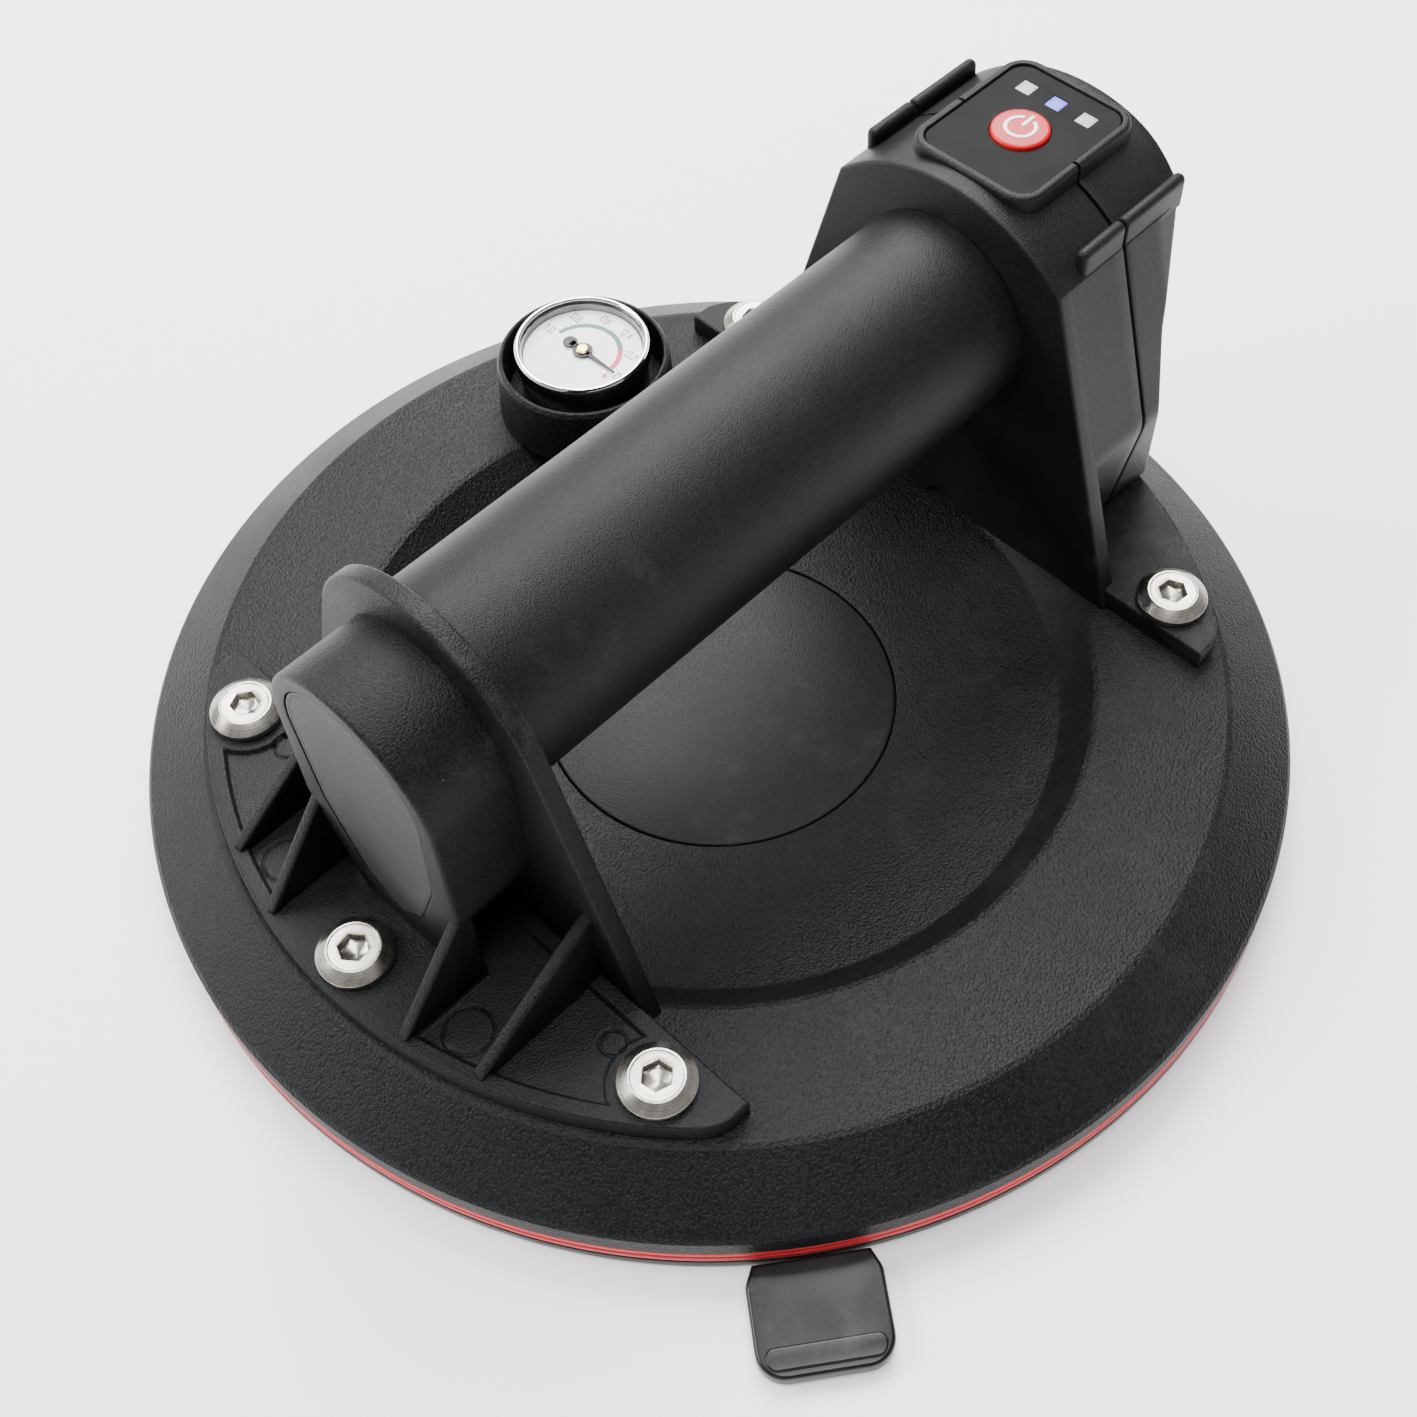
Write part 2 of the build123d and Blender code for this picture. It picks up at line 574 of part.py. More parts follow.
def make_board_chips():
    """Controller, charger and sensor chips under the board."""
    z = BOARD_Z - 1.6
    return [block(64, 71, -3.5, 3.5, z - 1.4, z), block(74, 78, 1, 5, z - 1.0, z),
            block(74, 80, -6.5, -2.5, z - 2.6, z)]


def make_tact_switch():
    body = block(BUTTON_X - 3, BUTTON_X + 3, -3, 3, BOARD_Z, BOARD_Z + 2.4)
    return body - disc(1.75, BOARD_Z + 1, BOARD_Z + 3, BUTTON_X, 0)


def make_status_leds():
    """Light guides for the two outer lights."""
    return [led_window(k, 0.0) & block(60, 90, -20, 20, PANEL_Z - 1.5, PANEL_Z - 0.05) for k in (-1, 1)]


def make_blue_led():
    return led_window(0, 0.0) & block(60, 90, -20, 20, PANEL_Z - 1.5, PANEL_Z - 0.05)


def make_usb_socket():
    """Metal charging socket behind the window in the back wall."""
    shell = Plane.YZ * RectangleRounded(9.2, 3.4, 1.6)
    mouth = Plane.YZ * RectangleRounded(8.2, 2.5, 1.2)
    socket = Pos(-8.6, 0, 0) * extrude(shell, 7.0)
    socket -= Pos(-7.6, 0, 0) * extrude(mouth, 8)
    socket += Pos(-8.6, 0, 0) * extrude(Plane.YZ * Rectangle(6.4, 0.7), 5.6)
    return on_back_wall(socket)


def make_port_flap():
    """Rubber plug that swings down on its lower edge to open the charging port."""
    lid = Plane.YZ * RectangleRounded(12.2, 7.2, 1.8)
    plug = Plane.YZ * RectangleRounded(7.8, 2.1, 1.0)
    flap = Pos(-1.2, 0, 0) * extrude(lid, 1.5)
    flap += Pos(-2.6, 0, 0) * extrude(plug, 2.0)
    flap += Pos(0.3, 0, 2.6) * extrude(Plane.YZ * RectangleRounded(5.0, 1.2, 0.5), 0.9)
    return on_back_wall(flap)


# ---------------------------------------------------------------- inside the handle

def make_battery_cell():
    return rod_x(9.2, -13.0, 51.6) + rod_x(3.0, 51.6, 52.6)


def make_battery_spacers():
    """Foam rings that centre the cell in the tube."""
    rings = []
    for x in (-10.0, 36.0):
        foam = rod_x(TUBE_BORE - 0.1, x, x + 6) - rod_x(9.25, x - 1, x + 7)
        for side in (1, -1):
            foam -= block(x - 1, x + 7, side * 10.2, side * 16, TUBE_Z - 1.0, TUBE_Z + 1.0)
        rings.append(foam)
    return rings


def make_battery_leads():
    """Two insulated wires from the cell to the control board's end."""
    leads = []
    for side in (1, -1):
        path = FilletPolyline((20.0, side * 11.2, TUBE_Z), (54.0, side * 11.2, TUBE_Z),
                              (62.5, side * 8.0, TUBE_Z + 6), (64.0, side * 7.9, BOARD_Z - 1.6), radius=3.0)
        start = Plane(path @ 0, z_dir=path % 0)
        leads.append(sweep(start * Circle(0.8), path=path))
    return leads


def make_pump_motor():
    """Can motor in the tube, with a bearing boss and a through bore for its shaft."""
    can = rod_x(12.0, -44.0, -16.0) + rod_x(3.5, -45.8, -44.0)
    can = chamfer([e for e in can.edges() if abs(e.center().X + 16.0) < 0.01], 0.8)
    return can - rod_x(1.05, -47.0, -20.0)


def make_motor_sleeve():
    """Rubber sleeve that damps the motor in the tube."""
    return rod_x(TUBE_BORE - 0.1, -40.0, -20.0) - rod_x(12.05, -41, -19)


def make_pump_rotor():
    """Motor shaft with the eccentric that drives the diaphragm."""
    shaft = rod_x(1.0, -51.0, -20.5)
    eccentric = rod_x(4.6, -51.0, -47.0, 0, TUBE_Z + 1.0)
    return shaft + eccentric


def make_pump_head():
    """Diaphragm chamber block in the pod, open at the back for the eccentric."""
    head = block(-67.5, -57.0, -10.5, 10.5, 52.5, 74.5)
    head = fillet(head.edges().filter_by(Axis.X), 2.5)
    head -= rod_x(8.2, -60.5, -56.0)
    head += disc(2.4, 45.0, 52.6, HOSE_X, 0)
    head -= disc(1.2, 44.0, 60.0, HOSE_X, 0)
    return head


def make_pump_diaphragm():
    """Rubber cup clamped over the chamber's mouth."""
    return rod_x(8.1, -58.2, -57.2) + rod_x(3.0, -57.2, -52.4)


def make_check_valve():
    valve = disc(4.4, 33.0, 41.0, HOSE_X, 0)
    valve -= disc(1.2, 30.0, 44.0, HOSE_X, 0)
    return valve


def make_air_hose():
    """Silicone hose in two lengths, pump to valve and valve to port."""
    upper = ring(3.6, 2.45, 41.0, 51.0).moved(Location((HOSE_X, 0, 0)))
    end_x = PORT_X + 1.6
    path = FilletPolyline((HOSE_X, 0, 33.0), (HOSE_X, 0, 30.0), (end_x, 0, 27.6), (end_x, 0, 25.0), radius=2.4)
    lower = sweep(Plane(path @ 0, z_dir=path % 0) * (Circle(2.2) - Circle(1.3)), path=path)
    return [upper, lower]


def make_port_nipple():
    """Brass nipple from the pod's floor through the foot into the cup."""
    nipple = disc(NIPPLE_R - 0.02, LEDGE_Z - 0.3, 24.6, PORT_X, 0)
    return nipple - disc(1.1, LEDGE_Z - 2, 26, PORT_X, 0)


def make_port_oring():
    return Pos(PORT_X, 0, LEDGE_Z - 1.1) * Torus(2.9, 0.85)


# ---------------------------------------------------------------- under the cup

def make_intake_filter():
    """Sponge disc that keeps dust out of the pump."""
    return disc(FILTER_R, CEILING_Z + 0.1, CEILING_Z + 1.5, *FILTER_AT)


def make_filter_cover():
    """Slotted cover under the sponge."""
    cover = disc(FILTER_R + 3.0, CEILING_Z - 1.2, CEILING_Z, *FILTER_AT)
    for k in range(6):
        slot = Rot(0, 0, 60 * k) * (Pos(5.6, 0) * RectangleRounded(5.6, 2.0, 0.9))
        cover -= Pos(*FILTER_AT, CEILING_Z - 2) * extrude(slot, 4)
    return cover


# ---------------------------------------------------------------- gauge

def at_gauge(shape):
    return Pos(GAUGE_X, GAUGE_Y, 0) * shape


def make_gauge_boss():
    """Smooth collar on the ledge that holds the gauge."""
    boss = turned([
        (STEM_R + 0.15, LEDGE_Z), (BOSS_R + 0.7, LEDGE_Z), (BOSS_R, BOSS_TOP_Z - 0.9),
        (BOSS_R - 0.5, BOSS_TOP_Z - 0.1), (BOSS_R - 1.0, BOSS_TOP_Z), (BOSS_WELL_R, BOSS_TOP_Z - 0.3),
        (BOSS_WELL_R, 21.0), (STEM_R + 0.15, 21.0)])
    return at_gauge(boss)


def make_gauge_case():
    """Drawn steel can of the gauge."""
    case = turned([(0, 21.1), (CASE_R - 0.6, 21.1), (CASE_R, 21.7), (CASE_R, 31.9), (CASE_R - 0.8, 31.9),
                   (CASE_R - 0.8, 22.0), (0, 22.0)])
    return at_gauge(case - disc(4.0, 20, 23))


def make_gauge_bezel():
    """Bright ring crimped over lens and case."""
    z = BEZEL_TOP_Z
    bezel = turned([(CASE_R + 0.02, 29.6), (BEZEL_R, 29.6), (BEZEL_R, z - 0.5), (BEZEL_R - 0.35, z),
                    (BEZEL_R - 1.1, z), (BEZEL_R - 1.6, z - 0.3), (BEZEL_R - 1.6, z - 0.55),
                    (CASE_R + 0.02, z - 0.55)])
    return at_gauge(bezel)


def make_gauge_lens():
    z = BEZEL_TOP_Z - 0.6
    return at_gauge(disc(CASE_R - 0.05, z - 0.6, z))


def make_gauge_dial():
    dial = disc(CASE_R - 0.9, DIAL_Z - 0.5, DIAL_Z)
    return at_gauge(dial - disc(0.66, DIAL_Z - 2, DIAL_Z + 1))


def make_gauge_pointer():
    """Needle with a counterweight, reading zero at rest (towards -Y)."""
    z = DIAL_Z + 0.35
    needle = make_face(Polyline((-0.75, 3.2), (0.75, 3.2), (0.5, 0), (0.16, -8.6), (-0.16, -8.6), (-0.5, 0),
                                close=True))
    pointer = Pos(0, 0, z) * extrude(needle, 0.25) + disc(1.5, z, z + 0.25)
    pointer += Pos(0, 3.3, z) * extrude(Circle(1.2), 0.25)
    pointer += disc(0.6, DIAL_Z - 3.0, z)
    return at_gauge(pointer)


def make_gauge_hub():
    """Brass cap on the pointer's arbor."""
    z = DIAL_Z + 0.6
    return at_gauge(turned([(0, z), (1.1, z), (1.1, z + 0.3), (0.8, z + 0.5), (0, z + 0.5)]))


def make_gauge_stop():
    """Pin beside zero that the pointer rests by."""
    return at_gauge(disc(0.45, DIAL_Z, DIAL_Z + 0.9, -1.5, -7.4))


def make_bourdon_tube():
    """Curved brass tube that moves the pointer's arbor."""
    arc = CenterArc((0, 0), 8.0, 20, 250)
    section = Plane(arc @ 0, z_dir=arc % 0) * Rectangle(1.0, 3.0)
    tube = sweep(section, path=arc)
    anchor = block(2.0, 8.2, 1.6, 3.4, 24.0, 26.4)
    return at_gauge(Pos(0, 0, 25.4) * tube + anchor)


def make_gauge_stem():
    stem = disc(3.9, 20.9, 24.0) + disc(STEM_R, 5.2, 20.9)
    return at_gauge(stem - disc(1.0, 4.0, 23.0))


def make_gauge_nut():
    nut = Pos(0, 0, 6.2) * extrude(RegularPolygon(7.0, 6), 3.7)
    return at_gauge(nut - disc(STEM_R + 0.02, 5, 11))


# ---------------------------------------------------------------- write

PARTS = {
    "base_plate": make_base_plate,
    "centre_badge": make_centre_badge,
    "red_seal_ring": make_red_seal,
    "rubber_lip": make_rubber_lip,
    "release_tab": make_release_tab,
    "foot_screws": make_foot_screws,
    "screw_inserts": make_screw_inserts,
    "front_bracket": make_front_bracket,
    "front_label": make_front_label,
    "handle_tube": make_handle_tube,
    "tube_seals": make_tube_seals,
    "rear_bracket": make_rear_bracket,
    "rear_cover": make_rear_cover,
    "cover_screws": make_cover_screws,
    "control_panel": make_control_panel,
    "power_button": make_power_button,
    "power_mark": make_power_mark,
    "switch_plunger": make_switch_plunger,
    "control_board": make_control_board,
    "board_chips": make_board_chips,
    "tact_switch": make_tact_switch,
    "status_leds": make_status_leds,
    "blue_led": make_blue_led,
    "usb_socket": make_usb_socket,
    "port_flap": make_port_flap,
    "battery_cell": make_battery_cell,
    "battery_spacers": make_battery_spacers,
    "battery_leads": make_battery_leads,
    "pump_motor": make_pump_motor,
    "motor_sleeve": make_motor_sleeve,
    "pump_rotor": make_pump_rotor,
    "pump_head": make_pump_head,
    "pump_diaphragm": make_pump_diaphragm,
    "check_valve": make_check_valve,
    "air_hose": make_air_hose,
    "port_nipple": make_port_nipple,
    "port_oring": make_port_oring,
    "intake_filter": make_intake_filter,
    "filter_cover": make_filter_cover,
    "gauge_boss": make_gauge_boss,
    "gauge_case": make_gauge_case,
    "gauge_bezel": make_gauge_bezel,
    "gauge_lens": make_gauge_lens,
    "gauge_dial": make_gauge_dial,
    "gauge_pointer": make_gauge_pointer,
    "gauge_hub": make_gauge_hub,
    "gauge_stop": make_gauge_stop,
    "bourdon_tube": make_bourdon_tube,
    "gauge_stem": make_gauge_stem,
    "gauge_nut": make_gauge_nut,
}

os.makedirs("parts", exist_ok=True)
for name, make in PARTS.items():
    made = make()
    if isinstance(made, list):
        made = Compound(children=[s for m in made for s in m.solids()])
    export_step(made, f"parts/{name}.step")
    print(name, len(made.solids()), round(made.volume, 1))
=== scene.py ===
import math

import bmesh
import bpy
import numpy as np
from mathutils import Matrix, Vector


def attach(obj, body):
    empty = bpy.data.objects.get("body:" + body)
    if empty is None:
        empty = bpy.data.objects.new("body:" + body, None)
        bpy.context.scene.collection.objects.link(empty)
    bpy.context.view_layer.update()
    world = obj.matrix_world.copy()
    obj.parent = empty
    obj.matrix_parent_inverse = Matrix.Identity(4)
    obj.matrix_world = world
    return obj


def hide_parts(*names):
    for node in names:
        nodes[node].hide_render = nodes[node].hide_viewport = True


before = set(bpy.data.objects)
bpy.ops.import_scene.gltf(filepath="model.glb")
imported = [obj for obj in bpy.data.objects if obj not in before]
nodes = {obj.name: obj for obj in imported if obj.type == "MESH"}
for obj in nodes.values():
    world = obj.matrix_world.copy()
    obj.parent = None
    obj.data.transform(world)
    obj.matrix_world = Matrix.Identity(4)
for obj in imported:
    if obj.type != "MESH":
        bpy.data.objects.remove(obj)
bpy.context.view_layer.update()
mm = 0.001


class Wire:
    # one shader output that takes part in ordinary sums, so a pattern reads as a formula
    def __init__(self, paint, socket):
        self.paint, self.socket = paint, socket

    def maths(self, operation, *others, flip=False):
        values = [self, *others]
        if flip:
            values.reverse()
        return self.paint.node("ShaderNodeMath", {"operation": operation}, dict(enumerate(values)))

    def __add__(self, other): return self.maths("ADD", other)
    def __sub__(self, other): return self.maths("SUBTRACT", other)
    def __mul__(self, other): return self.maths("MULTIPLY", other)
    def __truediv__(self, other): return self.maths("DIVIDE", other)
    def __radd__(self, other): return self.maths("ADD", other)
    def __rmul__(self, other): return self.maths("MULTIPLY", other)
    def __rsub__(self, other): return self.maths("SUBTRACT", other, flip=True)
    def __rtruediv__(self, other): return self.maths("DIVIDE", other, flip=True)

    def size(self): return self.maths("ABSOLUTE")
    def root(self): return self.maths("SQRT")
    def angleTo(self, other): return self.maths("ARCTAN2", other)
    def part(self): return self.maths("FRACT")

    def step(self, low, high):
        # 0 below low, 1 above high, smooth between
        return self.paint.node("ShaderNodeMapRange", {"interpolation_type": "SMOOTHSTEP"},
                               {"Value": self, "From Min": low, "From Max": high})

    def between(self, first, last):
        # the number or colour this far from first to last
        if isinstance(first, (tuple, Wire)) or isinstance(last, (tuple, Wire)):
            mixed = {0: self, 6: first, 7: last}   # the colour sockets of a Mix node
            return self.paint.node("ShaderNodeMix", {"data_type": "RGBA"}, mixed, out=2)
        return self.paint.node("ShaderNodeMapRange", {}, {"Value": self, "To Min": first, "To Max": last})


class Paint:
    # a material being built: one method adds any node, the rest are short names for common ones
    def __init__(self, name):
        self.material = bpy.data.materials.new(name)
        self.material.use_nodes = True
        self.tree = self.material.node_tree
        self.tree.nodes.clear()
        self.output = self.tree.nodes.new("ShaderNodeOutputMaterial")
        self.place = Wire(self, self.tree.nodes.new("ShaderNodeTexCoord").outputs["Object"])

    def node(self, kind, settings, values, out=0):
        made = self.tree.nodes.new(kind)
        for key, value in settings.items():
            setattr(made, key, value)
        for key, value in values.items():
            target = made.inputs[key]
            if isinstance(value, Wire):
                self.tree.links.new(value.socket, target)
            elif isinstance(value, tuple) and len(value) == 3 and target.type == "RGBA":
                target.default_value = (*value, 1.0)
            else:
                target.default_value = value
        return Wire(self, made.outputs[out])

    def axes(self, source=None):
        return [self.node("ShaderNodeSeparateXYZ", {}, {0: source or self.place}, out=i) for i in range(3)]

    def local(self):
        # the piece's own map: millimetres across, up and outwards from the middle of the screw or dial
        u, v, _ = self.axes(self.node("ShaderNodeUVMap", {"uv_map": "local"}, {}))
        return u, v, (u * u + v * v).root()

    def stretched(self, scale):
        return self.node("ShaderNodeMapping", {}, {"Vector": self.place, "Scale": scale})

    def noise(self, scale, detail=3.0, rough=0.5, place=None):
        values = {"Vector": place or self.place, "Scale": scale, "Detail": detail, "Roughness": rough}
        return self.node("ShaderNodeTexNoise", {}, values)

    def cells(self, scale, place=None, blur=None):
        values = {"Vector": place or self.place, "Scale": scale}
        if blur is not None:
            values["Smoothness"] = blur
        kind = "F1" if blur is None else "SMOOTH_F1"
        return self.node("ShaderNodeTexVoronoi", {"feature": kind}, values)

    def bump(self, height, depth):
        return self.node("ShaderNodeBump", {}, {"Height": height, "Distance": depth, "Strength": 1.0})

    def finish(self, **sockets):
        # sockets are the shader's own names with the spaces left out
        shader = self.tree.nodes.new("ShaderNodeBsdfPrincipled")
        byName = {s.name.replace(" ", "").lower(): s for s in shader.inputs}
        for key, value in sockets.items():
            target = byName[key.lower()]
            if isinstance(value, Wire):
                self.tree.links.new(value.socket, target)
            elif target.type == "RGBA" and len(value) == 3:
                target.default_value = (*value, 1.0)
            else:
                target.default_value = value
        self.tree.links.new(shader.outputs[0], self.output.inputs["Surface"])
        return self.material


# materials

grainLook = {"dark": (0.0026, 0.0028, 0.0032), "light": (0.0075, 0.0081, 0.0092), "cell": 0.46 * mm,
             "depth": 0.130 * mm, "roughness": (0.31, 0.42), "specular": 0.13, "dust": 0.12}
bracketLook = {"dark": (0.0026, 0.0028, 0.0032), "light": (0.0090, 0.0096, 0.0106), "cell": 0.34 * mm,
               "depth": 0.080 * mm, "roughness": (0.33, 0.46), "specular": 0.13, "dust": 0.4}
plainLook = {"dark": (0.0028, 0.0030, 0.0034), "light": (0.0100, 0.0106, 0.0118), "cell": 0.24 * mm,
             "depth": 0.055 * mm, "roughness": (0.35, 0.46), "specular": 0.15, "dust": 0.25}
filmLook = {"dark": (0.0040, 0.0040, 0.0042), "light": (0.034, 0.034, 0.034), "cell": 0.30 * mm,
            "depth": 0.060 * mm, "roughness": (0.42, 0.58), "specular": 0.22, "dust": 0.9}
rubberLook = {"dark": (0.0028, 0.0028, 0.0030), "light": (0.0075, 0.0075, 0.0080), "cell": 0.20 * mm,
              "depth": 0.006 * mm, "roughness": (0.22, 0.36), "specular": 0.26, "dust": 0.3}


def moulded(name, look):
    # pebbled mould texture: rounded cells broken up by noise, fine tooth on top, smudges and a few dust specks
    paint = Paint(name)
    cell = look["cell"]
    wander = paint.noise(0.55 / cell, 2.0)
    drift = paint.node("ShaderNodeVectorMath", {"operation": "MULTIPLY_ADD"},
                       {0: wander, 1: (cell,) * 3, 2: paint.place})
    pebble = paint.cells(1.0 / cell, place=drift, blur=0.6)
    tooth = paint.noise(2.6 / cell, 3.0, 0.6)
    height = 0.75 - pebble * 1.1 + tooth * 0.5
    broad = paint.noise(24.0, 4.0, 0.6)
    smudge = (paint.noise(9.0, 5.0, 0.7) * paint.noise(150.0, 4.0, 0.75)).step(0.27, 0.46) * look["dust"]
    speck = (1.0 - paint.cells(170.0).step(0.012, 0.030)) * paint.noise(30.0, 2.0).step(0.56, 0.62) * look["dust"]
    tone = (height * 0.5 + broad * 0.5).step(0.25, 0.75)
    tinted = tone.between(look["dark"], look["light"])
    dusty = (smudge * 0.10 + speck * 0.5).between(tinted, (0.42, 0.41, 0.39))
    rough = broad.step(0.3, 0.7).between(*look["roughness"]) + tooth * 0.05 + smudge * 0.12
    return paint.finish(baseColor=dusty, roughness=rough, specularIorLevel=look["specular"],
                        normal=paint.bump(height, look["depth"]))


steelLook = {"dark": (0.27, 0.25, 0.22), "light": (0.50, 0.475, 0.43), "pitch": 0.16, "depth": 0.006 * mm}


def turnedSteel(name, look):
    # lathe rings about each screw's own middle, with faint wandering stain and short scratches
    paint = Paint(name)
    u, v, radius = paint.local()
    lathed = paint.node("ShaderNodeCombineXYZ", {}, {0: radius / look["pitch"] * 2.0, 1: u * 0.08, 2: v * 0.08})
    ring = paint.noise(1.0, 3.0, 0.7, place=lathed)
    scratch = paint.noise(240.0, 2.0, 0.6, place=paint.stretched((1.0, 9.0, 1.0)))
    stain = paint.noise(260.0, 4.0, 0.65)
    tone = (ring * 0.45 + stain * 0.35 + scratch * 0.2).step(0.30, 0.66)
    return paint.finish(baseColor=tone.between(look["dark"], look["light"]), metallic=1.0,
                        roughness=(ring * 0.5 + stain * 0.5).step(0.3, 0.7).between(0.20, 0.36),
                        normal=paint.bump(ring + scratch * 0.4, look["depth"]))


def satin(name, dark, light, rough, metal=0.0, scale=700.0, depth=0.006 * mm, specular=0.5):
    # small parts: mottled tone, uneven gloss and a shallow fine bump
    paint = Paint(name)
    fine = paint.noise(scale, 4.0, 0.6)
    broad = paint.noise(scale * 0.12, 3.0, 0.5)
    tone = (fine * 0.5 + broad * 0.5).step(0.28, 0.72)
    return paint.finish(baseColor=tone.between(dark, light), metallic=metal, specularIorLevel=specular,
                        roughness=(broad * 0.6 + fine * 0.4).step(0.3, 0.7).between(*rough),
                        normal=paint.bump(fine, depth))


# the darkest colour here is painted shade for the groove between the two beads
sealLook = {"dark": (0.44, 0.007, 0.013), "light": (0.64, 0.015, 0.026), "dirt": (0.08, 0.004, 0.006),
            "depth": 0.02 * mm, "low": 2.4, "high": 6.0, "radius": 100.0, "inner": 85.0, "dip": 0.55}


def sealRubber(name, look):
    # dyed elastomer: faint streaks round the rim, and painted shade darkening the groove between the beads
    paint = Paint(name)
    height = paint.axes()[2] / mm
    fine = paint.noise(900.0, 3.0)
    streak = paint.noise(60.0, 4.0, 0.7, place=paint.stretched((1.0, 1.0, 14.0)))
    tone = (fine * 0.35 + streak * 0.65).step(0.3, 0.7)
    # painted shade: the colour darkens in the groove between the two beads, where shade falls
    grooveShadeMask = 1.0 - (height - (look["low"] + look["high"]) / 2).size().step(0.05, 0.35)
    shade = tone.between(look["dark"], look["light"])
    return paint.finish(baseColor=(grooveShadeMask * 0.7).between(shade, look["dirt"]),
                        roughness=streak.step(0.3, 0.7).between(0.36, 0.52),
                        normal=paint.bump(fine * 0.5 + streak, look["depth"]))


dialLook = {"face": (0.80, 0.81, 0.81), "green": (0.0, 0.10, 0.05), "red": (0.42, 0.005, 0.012),
            "tick": (0.05, 0.055, 0.06), "arcRadius": 7.05, "arcWidth": 1.05, "tickRadius": (7.6, 8.3), "ticks": 20.0,
            "redShare": 0.26}


def dialPrint(name, look):
    # printed scale: green arc then red arc, with ticks outside it, all measured from the pointer's arbor
    paint = Paint(name)
    u, v, radius = paint.local()
    turn = u.angleTo(-1.0 * v) / math.pi   # 0 at the pointer's rest, 0.5 at the top, 1 at full vacuum
    halfArc = look["arcWidth"] / 2
    onArc = 1.0 - (radius - look["arcRadius"]).size().step(halfArc - 0.06, halfArc + 0.02)
    above = turn.step(0.02, 0.03) * (1.0 - turn.step(0.97, 0.98))
    grain = paint.noise(900.0, 3.0)
    face = grain.between(tuple(c * 0.93 for c in look["face"]), look["face"])
    arc = turn.step(look["redShare"] - 0.005, look["redShare"] + 0.005).between(look["red"], look["green"])
    inked = (onArc * above).between(face, arc)
    spacing = ((turn * look["ticks"] + 0.5).part() - 0.5).size() * radius * (math.pi / look["ticks"])
    inner, outer = look["tickRadius"]
    inRing = radius.step(inner - 0.05, inner) * (1.0 - radius.step(outer, outer + 0.05))
    tick = (1.0 - spacing.step(0.05, 0.10)) * inRing * turn.step(0.0, 0.01) * (1.0 - turn.step(0.99, 1.0))
    return paint.finish(baseColor=(tick * 0.75).between(inked, look["tick"]), roughness=grain.between(0.35, 0.5),
                        normal=paint.bump(grain, 0.004 * mm))


def clearLens(name):
    # nearly invisible, with gloss broken by finger smears
    paint = Paint(name)
    smear = paint.noise(260.0, 4.0, 0.6)
    return paint.finish(baseColor=(1.0, 1.0, 1.0), roughness=smear.step(0.4, 0.8).between(0.02, 0.07),
                        transmissionWeight=1.0, ior=1.05, alpha=0.06, specularIorLevel=0.5)


def glowing(name, dark, light, glow):
    # frosted light window: faint grain, and light of its own
    paint = Paint(name)
    grain = paint.noise(2600.0, 2.0, 0.7)
    broad = paint.noise(500.0, 2.0)
    tone = (grain * 0.6 + broad * 0.4).step(0.3, 0.7)
    shade = tone.between(dark, light)
    return paint.finish(baseColor=shade, roughness=grain.between(0.25, 0.45), emissionColor=shade,
                        emissionStrength=glow,
                        normal=paint.bump(grain, 0.004 * mm))


grained = moulded("grainedPlastic", grainLook)
plain = moulded("housingPlastic", plainLook)
bracket = moulded("bracketPlastic", bracketLook)
film = moulded("labelFilm", filmLook)
rubber = moulded("blackRubber", rubberLook)
panelFilm = satin("panelFilm", (0.0022, 0.0022, 0.0024), (0.0050, 0.0050, 0.0055), (0.42, 0.52), scale=1400.0,
                  depth=0.004 * mm, specular=0.05)
steel = turnedSteel("screwSteel", steelLook)
chrome = satin("chrome", (0.72, 0.72, 0.72), (0.86, 0.86, 0.86), (0.06, 0.14), metal=1.0, scale=500.0,
               depth=0.002 * mm)
caseSteel = satin("caseSteel", (0.16, 0.16, 0.165), (0.27, 0.27, 0.275), (0.3, 0.45), metal=1.0)
brass = satin("brass", (0.55, 0.40, 0.17), (0.78, 0.60, 0.30), (0.25, 0.38), metal=1.0)
redCap = satin("redCap", (0.36, 0.002, 0.005), (0.50, 0.004, 0.009), (0.26, 0.38), specular=0.22)
whitePrint = satin("whitePrint", (0.80, 0.80, 0.80), (0.90, 0.90, 0.90), (0.35, 0.45))
darkPrint = satin("darkPrint", (0.025, 0.027, 0.03), (0.05, 0.053, 0.057), (0.4, 0.5))
needlePaint = satin("needlePaint", (0.012, 0.013, 0.015), (0.028, 0.030, 0.034), (0.36, 0.48),
                    specular=0.25)
redRubber = sealRubber("redRubber", sealLook)
dialFace = dialPrint("dialFace", dialLook)
lensGlass = clearLens("lensGlass")
whiteLight = glowing("whiteLight", (0.12, 0.13, 0.15), (0.34, 0.36, 0.40), 0.04)
blueLight = glowing("blueLight", (0.008, 0.008, 0.26), (0.05, 0.045, 0.62), 0.40)
print("materials ready")


# surfaces


def placed(name, data):
    made = bpy.data.objects.new(name, data)
    bpy.context.scene.collection.objects.link(made)
    return made


def finished(name, shape, mesh, crease):
    # smooth but for edges sharper than the crease
    shape.to_mesh(mesh)
    shape.free()
    mesh.shade_smooth()
    mesh.set_sharp_from_angle(angle=math.radians(crease))
    return placed(name, mesh)


